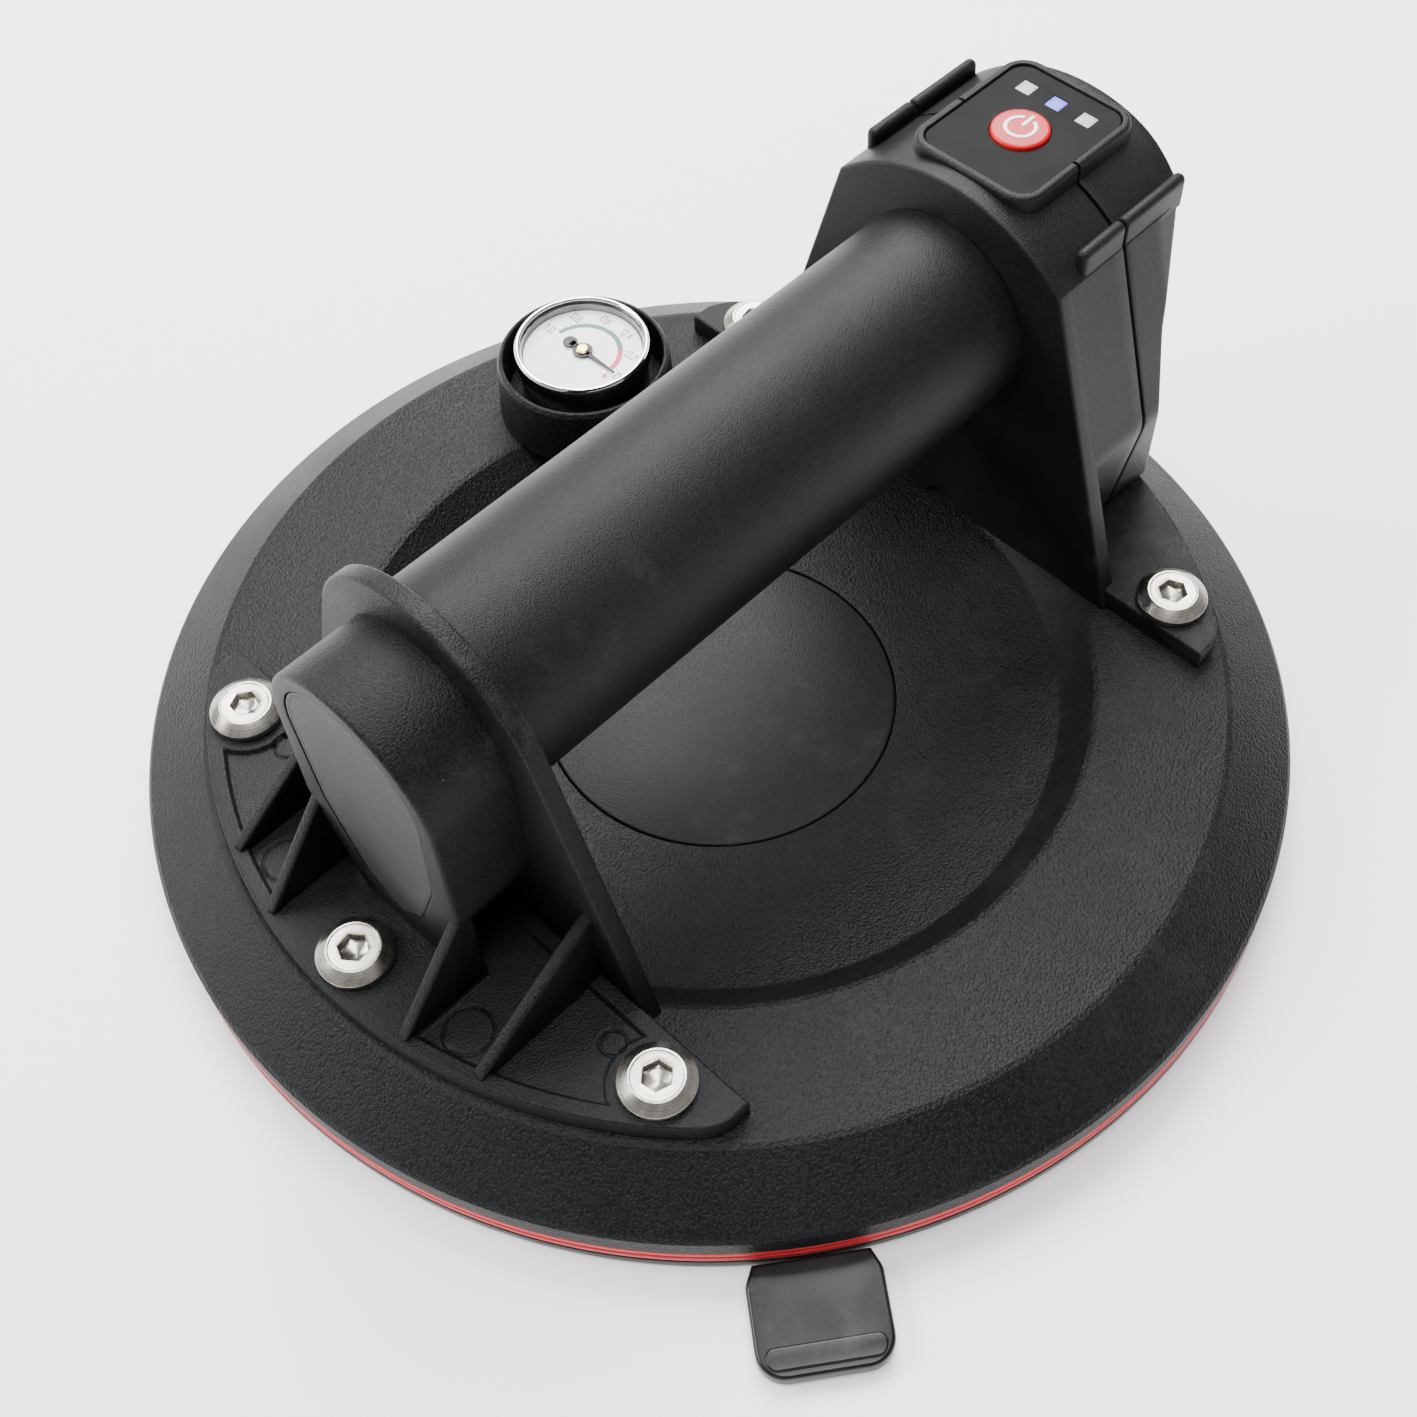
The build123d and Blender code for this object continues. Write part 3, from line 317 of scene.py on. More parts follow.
def makeMesh(name, points, faceSets, local=None, crease=32.0):
    # points in millimetres; faceSets are arrays of corner numbers, one array for each number of sides
    mesh = bpy.data.meshes.new(name)
    corners = np.concatenate([f.ravel() for f in faceSets]).astype(np.int32)
    sides = np.concatenate([np.full(len(f), f.shape[1]) for f in faceSets])
    mesh.vertices.add(len(points))
    mesh.vertices.foreach_set("co", (np.asarray(points) * mm).astype(np.float32).ravel())
    mesh.loops.add(len(corners))
    mesh.loops.foreach_set("vertex_index", corners)
    mesh.polygons.add(len(sides))
    mesh.polygons.foreach_set("loop_start", np.concatenate(([0], np.cumsum(sides)[:-1])).astype(np.int32))
    if local is not None:
        layer = mesh.uv_layers.new(name="local")
        layer.data.foreach_set("uv", np.asarray(local, np.float32)[corners].ravel())
    mesh.update(calc_edges=True)
    mesh.validate()
    shape = bmesh.new()
    shape.from_mesh(mesh)
    bmesh.ops.recalc_face_normals(shape, faces=shape.faces)
    return finished(name, shape, mesh, crease)


def settle(piece, paint, *stands, body="lifter", slot=None):
    # gives a piece its material and body, and the nodes it stands in for
    piece.data.materials.append(paint)
    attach(piece, body)
    if stands:
        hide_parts(*stands)
    return piece


def divided(path, after, spacing):
    # the points from each point of a path towards the one after it, no further apart than spacing
    cuts = np.maximum(1, np.ceil(np.linalg.norm(after - path, axis=1) / spacing)).astype(int)
    whole = np.repeat(np.arange(len(path)), cuts)
    share = (np.arange(len(whole)) - np.repeat(np.cumsum(cuts) - cuts, cuts)) / cuts[whole]
    return path[whole] + (after - path)[whole] * share[:, None]


def quadGrid(rows, columns, loop=True):
    # corner numbers of the quads between neighbouring rows
    across = columns if loop else columns - 1
    i, j = np.meshgrid(np.arange(rows - 1), np.arange(across), indexing="ij")
    k = (j + 1) % columns
    below, above = i * columns, (i + 1) * columns
    return np.stack([below + j, below + k, above + k, above + j], -1).reshape(-1, 4)


def loft(name, rows, ends=(True, True), local=None, crease=32.0):
    # closed loops joined one to the next; each end is shut with one flat face
    count, columns = rows.shape[:2]
    faces = [quadGrid(count, columns)]
    if ends[0]:
        faces.append(np.arange(columns)[None, ::-1])
    if ends[1]:
        faces.append(((count - 1) * columns + np.arange(columns))[None, :])
    uv = None if local is None else local.reshape(-1, 2)
    return makeMesh(name, rows.reshape(-1, 3), faces, uv, crease)


def merged(name, pieces, crease=32.0):
    # one object made of several, which are removed
    shape = bmesh.new()
    for piece in pieces:
        shape.from_mesh(piece.data)
        bpy.data.objects.remove(piece)
    return finished(name, shape, bpy.data.meshes.new(name), crease)


def spun(turn):
    # turns rows of (x, y) by an angle
    return np.array([[math.cos(turn), math.sin(turn)], [-math.sin(turn), math.cos(turn)]])


def softened(corners, radii, steps=6, closed=True):
    # a path through corners, each rounded by an arc of its own radius that touches both runs
    corners = np.asarray(corners, float)
    count = len(corners)
    radii = np.broadcast_to(np.asarray(radii, float), (count,))
    out = []
    for i, corner in enumerate(corners):
        before, after = corners[i - 1], corners[(i + 1) % count]
        if radii[i] <= 0 or (not closed and i in (0, count - 1)):
            out.append(corner[None])
            continue
        a, b = before - corner, after - corner
        lenA, lenB = np.linalg.norm(a), np.linalg.norm(b)
        a, b = a / lenA, b / lenB
        half = math.acos(np.clip(a @ b, -1, 1)) / 2
        reach = min(radii[i] / math.tan(half), 0.49 * lenA, 0.49 * lenB)
        radius = reach * math.tan(half)
        middle = corner + (a + b) / np.linalg.norm(a + b) * radius / math.sin(half)
        start, end = corner + a * reach - middle, corner + b * reach - middle
        spread = math.acos(np.clip(start @ end / radius ** 2, -1, 1))
        t = np.linspace(0, 1, steps + 1)[:, None]
        out.append(middle + (np.sin((1 - t) * spread) * start + np.sin(t * spread) * end) / math.sin(spread))
    return np.concatenate(out)


def evened(path, spacing):
    # closed path resampled so that no step is longer than spacing; its own corners stay
    return divided(path, np.roll(path, -1, 0), spacing)


def drawnIn(path, amount):
    # closed path moved inwards by amount along its own normals
    ahead = np.roll(path, -1, 0) - path
    ahead = ahead / np.linalg.norm(ahead, axis=1)[:, None]
    behind = np.roll(ahead, 1, 0)
    bisector = ahead + behind
    bisector /= np.linalg.norm(bisector, axis=1)[:, None]
    normal = np.stack([-bisector[:, 1], bisector[:, 0]], 1)
    x, y = path[:, 0], path[:, 1]
    if np.sum(x * np.roll(y, -1) - np.roll(x, -1) * y) < 0:
        normal = -normal
    lean = np.maximum(0.5, np.sum(bisector * ahead, 1))
    return path + normal * (amount / lean)[:, None]


def upright(axis, u, v, w):
    # w runs along the axis, u and v across it
    return np.stack({"z": (u, v, w), "x": (w, u, v), "y": (u, w, v)}[axis], -1)


def slab(name, outline, low, high, edge=0.6, axis="z", spacing=1.5, steps=4, foot=None):
    # outline carried from low to high along the axis; each rim is a quarter round of the edge radius
    path = evened(np.asarray(outline, float), spacing)
    foot = edge if foot is None else foot
    t = np.linspace(0, math.pi / 2, steps + 1)
    rows = [(foot * (1 - math.sin(a)), low + foot * (1 - math.cos(a))) for a in t]
    rows += [(edge * (1 - math.cos(a)), high - edge * (1 - math.sin(a))) for a in t]
    loops = [upright(axis, *drawnIn(path, inset).T, np.full(len(path), level)) for inset, level in rows]
    return loft(name, np.stack(loops))


def lathe(name, profile, centre=(0, 0), axis="z", steps=192):
    # profile of (radius, height) turned about the axis; a radius of 0 at either end closes to a point
    profile = np.asarray(profile, float)
    turn = np.linspace(0, 2 * math.pi, steps, endpoint=False)
    radius, height = profile[:, :1], profile[:, 1:]
    u, v = radius * np.cos(turn), radius * np.sin(turn)
    w = np.broadcast_to(height, u.shape)
    points = upright(axis, u + centre[0], v + centre[1], w)
    local = np.stack([u, v], -1)
    starts, ends = profile[0, 0] == 0, profile[-1, 0] == 0
    first, last = (1 if starts else 0), len(profile) - (1 if ends else 0)
    inner = points[first:last]
    rows = last - first
    verts, flat = [inner.reshape(-1, 3)], [local[first:last].reshape(-1, 2)]
    faces = [quadGrid(rows, steps)]
    ring = np.arange(steps)
    total = rows * steps
    for shut, row, base in ((starts, 0, 0), (ends, -1, (rows - 1) * steps)):
        if shut:
            verts.append(points[row, :1])
            flat.append(np.zeros((1, 2)))
            faces.append(np.stack([base + ring, base + (ring + 1) % steps, np.full(steps, total)], -1))
            total += 1
    if not starts and not ends:
        last = (rows - 1) * steps
        shut = np.stack([last + ring, last + (ring + 1) % steps, (ring + 1) % steps, ring], -1)
        faces[0] = np.concatenate([faces[0], shut])
    return makeMesh(name, np.concatenate(verts), faces, np.concatenate(flat))


def arcOf(centre, radius, start, end, steps):
    # points round part of a circle, angles in degrees
    t = np.radians(np.linspace(start, end, steps))
    return np.stack([centre[0] + radius * np.cos(t), centre[1] + radius * np.sin(t)], -1)


# cup

cupLook = {"ledge": 18.0, "bevelTop": 88.6, "bowlTop": 65.9, "badge": 31.3, "badgeZ": 9.2, "seat": 6.02,
           "grooveTop": 8.6, "groove": (67.0, 84.0), "ceiling": 4.8, "webs": 24, "webHalf": 0.9}


def makeCup(look):
    # turned half section: badge seat, bowl, ledge, bevel, rim wall, then the underside; 24 webs close the hollow ring
    ledge = look["ledge"]
    bowl = np.array([(36.0, 9.32), (41.0, 9.7), (46.0, 10.4), (51.0, 11.15), (55.5, 11.95), (59.8, 12.8)])
    corners = np.concatenate([[(look["badge"], look["badgeZ"] - 1.8), (look["badge"], look["badgeZ"])], bowl,
                              [(64.9, ledge - 0.35), (look["bowlTop"], ledge), (look["bevelTop"] - 1.0, ledge),
                               (look["bevelTop"], ledge - 0.3), (99.35, 10.45), (100.0, 9.6), (100.0, look["seat"])]])
    radii = np.concatenate([[0, 0.25], np.full(len(bowl), 20.0), [0.6, 0.5, 0.5, 0.6, 0.5, 0.45, 0]])
    radii[2 + len(bowl) - 1] = 1.6
    top = softened(corners, radii, 5, closed=False)
    (inner, outer), roof, ceiling, half = look["groove"], look["grooveTop"], look["ceiling"], look["webHalf"]
    under = [(outer, look["seat"]), (outer, roof), (inner, roof), (inner, ceiling), (48.0, ceiling), (0.0, ceiling)]
    cup = lathe("cupMoulding", np.concatenate([[(0.0, look["badgeZ"] - 1.8)], top, under]), steps=384)
    webs = []
    web = np.array([(inner - 0.1, -half), (outer + 0.1, -half), (outer + 0.1, half), (inner - 0.1, half)])
    for turn in np.radians((np.arange(look["webs"]) + 0.5) * 360.0 / look["webs"]):
        webs.append(slab("web", web @ spun(turn), 7.0, roof + 0.1, 0.15, steps=2))
    return settle(merged("cupPlate", [cup, *webs]), grained, "base_plate")


makeCup(cupLook)
badgeProfile = [(0, 7.4), (31.0, 7.4), (31.0, 8.92), (30.93, 9.06), (30.8, 9.14), (30.6, 9.2), (15, 9.2), (0, 9.2)]
settle(lathe("badgeDisc", badgeProfile, steps=256), plain, "centre_badge")


def makeSeal(look):
    # two beads: radius less dip |cos(2 pi t)|^6, where t goes from 0 at the lip to 1 at the cup
    low, high = look["low"], look["high"]
    z = np.linspace(low, high, 33)
    outer = look["radius"] - look["dip"] * np.abs(np.cos((z - low) / (high - low) * 2 * math.pi)) ** 6.0
    profile = np.concatenate([np.stack([outer, z], 1), [(look["inner"], high), (look["inner"], low)]])
    return settle(lathe("sealBeads", profile, steps=384), redRubber, "red_seal_ring")


makeSeal(sealLook)
lipProfile = softened([(80.0, 0.6), (81.0, 0.0), (89.0, 0.0), (89.4, 0.8), (90.6, 0.8), (91.0, 0.0), (99.2, 0.0),
                       (100.0, 0.8), (100.0, 2.38), (82.0, 2.38), (80.0, 1.4)],
                      [0.3, 0.3, 0.2, 0.2, 0.2, 0.2, 0.5, 0.4, 0.2, 0.2, 0.3], 4)
settle(lathe("lipRing", lipProfile, steps=384), rubber, "rubber_lip")

tabLook = {"angle": -128.0, "root": 100.45, "tip": 117.95, "halfWidth": 10.5, "top": 3.4, "weltTop": 3.88}


def makeTab(look):
    # tongue waisted at its root, with a raised welt along its tip
    half, tip = look["halfWidth"], look["tip"]
    spin = spun(math.radians(look["angle"]))
    tongue = softened([(look["root"], 1.4 - half), (103.5, -half), (tip, -half), (tip, half), (103.5, half),
                       (look["root"], half - 1.4)], [0, 4.0, 4.5, 4.5, 4.0, 0], 8)
    welt = softened([(113.2, 1.3 - half), (tip - 1.1, 1.3 - half), (tip - 1.1, half - 1.3), (113.2, half - 1.3)],
                    [1.5, 3.4, 3.4, 1.5], 6)
    base = slab("tongue", tongue @ spin, 0.32, look["top"], 0.7, steps=6)
    raised = slab("welt", welt @ spin, 3.0, look["weltTop"], 0.45, steps=6)
    return settle(merged("tabTongue", [base, raised]), rubber, "release_tab", body="tab")


makeTab(tabLook)

# foot screws

screwLook = {"circle": 80.0, "angles": (0, 39, 142, 180, 218, 321), "turns": (0, 12, 25, 8, 40, 52),
             "top": 22.0, "socket": 2.5, "socketDepth": 2.0}


def makeFootScrew(name, look, x, y, turn):
    # turned head; the inner rows follow the hexagon r = a cos 30 / cos(angle from the nearest flat)
    z = look["top"]
    outer = softened([(3.0, 8.0), (3.0, z), (5.9, z), (6.2, z + 0.35), (6.2, z + 1.35), (4.42, z + 2.76),
                      (4.1, z + 2.78), (3.95, z + 2.66), (3.3, z + 2.66)],
                     [0, 0, 0.15, 0.1, 0.25, 0.12, 0.08, 0.08, 0], 4, closed=False)
    angle = np.linspace(0, 2 * math.pi, 240, endpoint=False)
    hexagon = look["socket"] * math.cos(math.pi / 6) / np.cos(angle % (math.pi / 3) - math.pi / 6)
    top, deep = z + 2.66, z + 2.66 - look["socketDepth"]
    circle = np.ones(240)
    rows = [(circle * r, h) for r, h in outer]
    socket = ((1.12, top), (1.05, top - 0.03), (1.0, top - 0.12), (1.0, deep + 0.2))
    drilled = ((1.95, deep), (1.9, deep - 0.02), (1.0, deep - 0.34), (0.12, deep - 0.62))
    rows += [(hexagon * grow, h) for grow, h in socket]
    rows += [(circle * r, h) for r, h in drilled]
    radius = np.stack([r for r, _ in rows])
    level = np.repeat([[h] for _, h in rows], 240, 1)
    u, v = radius * np.cos(angle + turn), radius * np.sin(angle + turn)
    return loft(name, np.stack([x + u, y + v, level], -1), local=np.stack([u, v], -1), crease=24.0)


for place, (angle, turn) in enumerate(zip(np.radians(screwLook["angles"]), np.radians(screwLook["turns"]))):
    x, y = screwLook["circle"] * math.cos(angle), screwLook["circle"] * math.sin(angle)
    settle(makeFootScrew(f"footScrew{place}", screwLook, x, y, turn), steel, "foot_screws")
print("cup ready")

# handle tube and feet

tubeLook = {"z": 64.3, "outer": 17.6, "bore": 15.4, "ends": (-53.0, 55.0)}


def makeTube(look):
    r, (first, last) = look["outer"], look["ends"]
    run = [(r, x) for x in np.linspace(first + 0.6, last - 0.6, 20)]
    profile = [(look["bore"], first), (r - 0.3, first), (r - 0.06, first + 0.15), *run, (r - 0.06, last - 0.15),
               (r - 0.3, last), (look["bore"], last)]
    return settle(lathe("handleBar", profile, (0, look["z"]), "x", 256), plain, "handle_tube")


makeTube(tubeLook)

footLook = {"grid": (560, 150), "radius": 87.0, "halfY": 61.3, "inner": 56.0, "low": 18.02, "top": 22.0,
            "tip": 3.2, "edge": 0.45, "pocket": 0.9, "marks": ((76.4, 21.9, 4.0), (62.8, 39.4, 2.1))}


def rise(distance, width):
    # smooth step from 0 to 1 as distance goes from -width to width
    t = np.clip(distance / width / 2 + 0.5, 0, 1)
    return t * t * (3 - 2 * t)


def makeFoot(name, look, sign, pocketed):
    # top = height field over (x, y), bent to the foot's outline; the outermost rows turn down its walls
    half, edge = look["halfY"], look["edge"]
    countY, countX = look["grid"]
    cuts = np.array([0, 0, edge * 0.29, edge])
    y = np.concatenate([-half + cuts, np.linspace(-half + edge, half - edge, countY)[1:-1], half - cuts[::-1]])
    drop = look["top"] - np.array([look["low"], look["top"] - edge, look["top"] - edge * 0.29, look["top"]])
    dropY = np.concatenate([drop, np.zeros(countY - 2), drop[::-1]])
    corner = np.clip(np.abs(y) - (half - look["tip"]), 0, look["tip"])
    bite = look["tip"] - np.sqrt(np.maximum(look["tip"] ** 2 - corner ** 2, 0))
    outer = np.sqrt(look["radius"] ** 2 - y * y) - bite
    share = np.linspace(0, 1, countX)
    across = look["inner"] + edge + (outer[:, None] - look["inner"] - 2 * edge) * share
    front = look["inner"] + cuts * np.ones((len(y), 1))
    back = outer[:, None] - cuts[::-1]
    x = np.concatenate([front, across[:, 1:-1], back], 1)
    dropX = np.concatenate([drop, np.zeros(countX - 2), drop[::-1]])
    fall = np.minimum(np.maximum(dropY[:, None], dropX[None, :]), look["top"] - look["low"])
    yy = np.broadcast_to(y[:, None], x.shape)
    if pocketed:
        side = np.abs(yy)
        nearest = np.where(x < 68.0, 9.0, 17.0)   # the pocket runs in under the pod behind the inner rib
        inside = np.minimum.reduce([84.2 - np.hypot(x, yy), x - 59.0, side - nearest, 49.3 - side])
        screwX, screwY = 80.0 * math.cos(math.radians(38)), 80.0 * math.sin(math.radians(38))
        land = 8.0 - np.hypot(x - screwX, side - screwY)
        fall = fall + look["pocket"] * rise(np.minimum(inside, -land), 0.35)
        for markX, markY, r in look["marks"]:
            fall = fall + 0.35 * (1 - rise(np.abs(np.hypot(x - markX, side - markY) - r) - 0.2, 0.2))
    points = np.stack([x * sign, yy, look["top"] - fall], -1)
    rows, columns = x.shape
    return makeMesh(name, points.reshape(-1, 3), [quadGrid(rows, columns, loop=False)], crease=50.0)


settle(makeFoot("frontFoot", footLook, -1.0, True), bracket, "front_bracket")
settle(makeFoot("rearFoot", footLook, 1.0, False), bracket, "rear_bracket")

# front bracket

frontLook = {"plate": (-56.3, -53.0), "lean": 18.5, "archR": 23.5, "archZ": 63.0, "podEnd": -70.8, "podR": 17.5,
             "podZ": 62.5, "labelR": 14.2, "labelDepth": 0.7}
ribLook = (("innerRib", 16.0, -67.8, 43.5, -84.4, 1.9), ("outerRib", 29.0, -55.8, 40.0, -80.8, 2.1))


def archOutline(look):
    lean, r = math.radians(look["lean"]), look["archR"]
    ty, tz = r * math.cos(lean), look["archZ"] + r * math.sin(lean)
    foot = ty + math.tan(lean) * (tz - 18.05)
    top = arcOf((0, look["archZ"]), r, look["lean"], 180 - look["lean"], 40)
    return np.concatenate([[(-foot, 18.05), (foot, 18.05)], top])


def podOutline(look, inset, low=21.2):
    r = look["podR"] - inset
    crown = arcOf((0, look["podZ"]), r, 0, 180, 60)
    corners = np.concatenate([[(-8.5 + inset, low), (8.5 - inset, low), (r, 41.0)], crown, [(-r, 41.0)]])
    radii = np.zeros(len(corners))
    radii[[2, -1]] = 4.0
    return softened(corners, radii, 6)


def labelOutline(look, inset):
    r = look["labelR"] - inset
    crown = arcOf((0, look["podZ"] + 0.6), r, 0, 180, 60)
    point = [(1.8 - r, 44.0), (inset - 6.6, 29.5), (0, 24.6 + inset), (6.6 - inset, 29.5), (r - 1.8, 44.0)]
    corners = np.concatenate([crown, point])
    radii = np.zeros(len(corners))
    radii[-5:] = (7.0, 3.0, 7.0, 3.0, 7.0)
    return softened(corners, radii, 8)


def byAngle(path, middle, count):
    # closed outline re-cut at even turns about a middle point, so different outlines match up
    path = evened(path, 0.15)
    angle = np.arctan2(path[:, 1] - middle[1], path[:, 0] - middle[0]) % (2 * math.pi)
    order = np.argsort(angle)
    want = np.linspace(0, 2 * math.pi, count, endpoint=False)
    return np.stack([np.interp(want, angle[order], path[order, k], period=2 * math.pi) for k in (0, 1)], -1)


def stacked(name, rows, count=420):
    # loft through (outline, x) rows, every outline re-cut about the same middle
    loops = [np.concatenate([np.full((count, 1), x), byAngle(path, (0, 50), count)], 1) for path, x in rows]
    return loft(name, np.stack(loops))


def makePod(look):
    # walls, softened front edge, end face, then the label recess
    end = look["podEnd"]
    walls = ((0, -56.2), (0, end + 0.8), (0.12, end + 0.4), (0.4, end + 0.12), (0.8, end))
    recess = ((-0.25, end), (-0.06, end + 0.06), (0, end + 0.22), (0, end + look["labelDepth"]))
    rows = [(podOutline(look, inset), x) for inset, x in walls]
    rows += [(labelOutline(look, inset), x) for inset, x in recess]
    return settle(stacked("podShell", rows), bracket, "front_bracket")


makePod(frontLook)
settle(slab("archPlate", archOutline(frontLook), *frontLook["plate"], 0.55, "x"), bracket, "front_bracket")
sides = ((-1, "Right"), (1, "Left"))
for name, y, topX, topZ, outX, thick in ribLook:
    outline = softened([(topX, 20.6), (topX, topZ), (outX, 22.6), (outX, 20.6)], [0, 0.5, 0.8, 0.2], 5)
    for side, label in sides:
        low, high = side * y - thick / 2, side * y + thick / 2
        settle(slab(name + label, outline, low, high, 0.45, "y", 2.0, 3), bracket, "front_bracket")


def makeLabel(look):
    # blank film: slightly raised lip inside its edge
    rows = ((0.16, 0.69), (0.16, 0.3), (0.22, 0.22), (0.34, 0.2), (0.9, 0.2), (1.0, 0.26), (1.15, 0.28))
    plate = stacked("labelPlate", [(labelOutline(look, inset), look["podEnd"] + x) for inset, x in rows])
    return settle(plate, film, "front_label")


makeLabel(frontLook)
print("front ready")

# control housing

housingLook = {"crownR": 33.0, "crownZ": 56.0, "shoulderY": 23.0, "slope": 0.303, "waistZ": 46.5, "waistY": 33.06,
               "lowZ": 22.0, "lowY": 28.7, "seam": (71.3, 71.9), "edge": 0.6, "facet": (80.4, 0.1405),
               "portZ": 71.0, "portRake": 23.5, "wells": ((21.0, 66.0, 75.6), (22.0, 34.0, 74.6))}
# (z, x) of the back wall's bends
backLine = np.array([(10.0, 84.6), (22.0, 84.0), (46.5, 76.0), (60.8, 79.1), (82.0, 88.3), (86.5, 90.0),
                     (100.0, 90.0)])


def backOf(z):
    # x of the back wall at height z, its bends eased over a few millimetres
    near = np.stack([np.interp(z + d, backLine[:, 0], backLine[:, 1]) for d in np.linspace(-1.6, 1.6, 9)])
    return near.mean(0)


def shellOutline(look):
    # right side going up then left side coming down, the same heights on both
    shoulder = look["crownZ"] + math.sqrt(look["crownR"] ** 2 - look["shoulderY"] ** 2)
    start = math.degrees(math.acos(look["shoulderY"] / look["crownR"]))
    crown = arcOf((0, look["crownZ"]), look["crownR"], start, 89.6, 60)
    low, waist = (look["lowY"], look["lowZ"]), (look["waistY"], look["waistZ"])
    side = np.concatenate([[low, waist, (look["shoulderY"], shoulder)], crown[1:]])
    radii = np.zeros(len(side))
    radii[1:3] = (8.0, 1.2)
    side = softened(side, radii, 8, closed=False)
    fine = np.concatenate([divided(side[:-1], side[1:], 0.6), side[-1:]])
    return np.concatenate([fine, fine[::-1] * (-1.0, 1.0)])


def facetPull(look, x, y, z):
    # how far the side bends in towards the back, between the waist and the shoulder
    start, slope = look["facet"]
    window = rise(z - 40.5, 1.0) * (1 - rise(z - 79.4, 0.6))
    return np.sign(y) * np.clip(x - start, 0, None) * slope * window


def ring(look, inset, x=None, fromBack=0.0):
    # the housing's section at x, or the same distance from its raked back all round
    y, z = (drawnIn(shellOutline(look), inset) if inset else shellOutline(look)).T
    x = backOf(z) - fromBack if x is None else np.full(len(y), float(x))
    return np.stack([x, y - facetPull(look, x, y, z), z], -1)


def makeNearShell(look):
    seam = look["seam"][0]
    rows = [ring(look, 0.0, 58.0)] + [ring(look, 0.0, x) for x in np.linspace(59.0, seam - 0.3, 6)]
    rows += [ring(look, 0.09, seam - 0.09), ring(look, 0.3, seam), ring(look, 1.6, seam)]
    return settle(loft("nearShell", np.stack(rows)), plain, "rear_bracket")


def insideBox(y, z, halfY, halfZ, corner):
    # distance inside a rectangle with round corners, negative outside
    return corner - np.hypot(np.maximum(np.abs(y) - halfY + corner, 0), np.maximum(np.abs(z) - halfZ + corner, 0))


def backDepth(look, y, z):
    # how far the back wall is sunk: port window and slot, four screw wells, and the arch over the foot screw
    along = (z - look["portZ"]) / math.cos(math.radians(look["portRake"]))
    depth = 1.3 * rise(insideBox(y, along, 6.3, 3.8, 2.0), 0.12)
    depth = depth + 4.6 * rise(insideBox(y, along, 4.8, 1.9, 1.8), 0.12)
    for wellY, wellZ, headX in look["wells"]:
        inside = 3.1 - np.hypot(np.abs(y) - wellY, z - wellZ)
        depth = depth + (backOf(z) - headX) * rise(inside, 0.12)
    arch = np.minimum(8.4 - np.abs(y), 34.4 - z)
    reach = backOf(z) - (80.0 - np.sqrt(np.maximum(8.4 ** 2 - y * y, 0)))
    return np.maximum(depth, reach * rise(arch, 0.15))


def makeCover(look):
    # walls from the seam to the raked back; the back itself is a height field between the two sides
    seam, edge = look["seam"][1], look["edge"]
    first = [ring(look, 1.6, seam), ring(look, 0.3, seam), ring(look, 0.09, seam + 0.09), ring(look, 0.0, seam + 0.3)]
    eased = ((0.0, edge), (edge * 0.29, edge * 0.29), (edge, 0.0))
    last = [ring(look, inset, fromBack=back) for inset, back in eased]
    run = [first[-1] + (last[0] - first[-1]) * t for t in np.linspace(0, 1, 14)[1:-1]]
    outline = shellOutline(look)
    for row in run:
        row[:, 1] = outline[:, 0] - facetPull(look, row[:, 0], row[:, 1], row[:, 2])
    walls = loft("coverWalls", np.stack(first + run + last), ends=(True, False))
    half = len(last[-1]) // 2
    right, left = last[-1][:half], last[-1][half:][::-1]
    share = np.linspace(0, 1, 280)[None, :, None]
    grid = right[:, None] + (left - right)[:, None] * share
    fine = np.linspace(0, half - 1, 340)
    low = np.floor(fine).astype(int).clip(0, half - 2)
    grid = grid[low] + (grid[low + 1] - grid[low]) * (fine - low)[:, None, None]
    grid[..., 0] = backOf(grid[..., 2]) - backDepth(look, grid[..., 1], grid[..., 2])
    back = makeMesh("coverBack", grid.reshape(-1, 3), [quadGrid(340, 280, loop=False)], crease=50.0)
    settle(back, plain, "rear_cover")
    return settle(walls, plain, "rear_cover")


makeNearShell(housingLook)
makeCover(housingLook)


def rearPlateOutline(look):
    start = math.degrees(math.acos(look["shoulderY"] / look["crownR"]))
    crown = arcOf((0, look["crownZ"]), look["crownR"], start, 180 - start, 60)
    foot = look["shoulderY"] + look["slope"] * (crown[0, 1] - 18.05)
    notch = arcOf((-3.5, 18.0), 3.0, 179, 1, 17)
    corners = np.concatenate([[(-foot, 18.05)], notch, [(foot, 18.05)], crown])
    radii = np.zeros(len(corners))
    radii[[19, -1]] = 1.2
    return softened(corners, radii, 5)


settle(slab("rearPlate", rearPlateOutline(housingLook), 55.0, 58.3, 0.06, "x", foot=0.6), plain, "rear_bracket")

padLook = {"x": (58.4, 87.9), "halfY": 12.55, "corner": 4.5, "wall": 1.5, "base": 84.0, "top": 89.8, "edge": 0.8,
           "inner": 0.25}


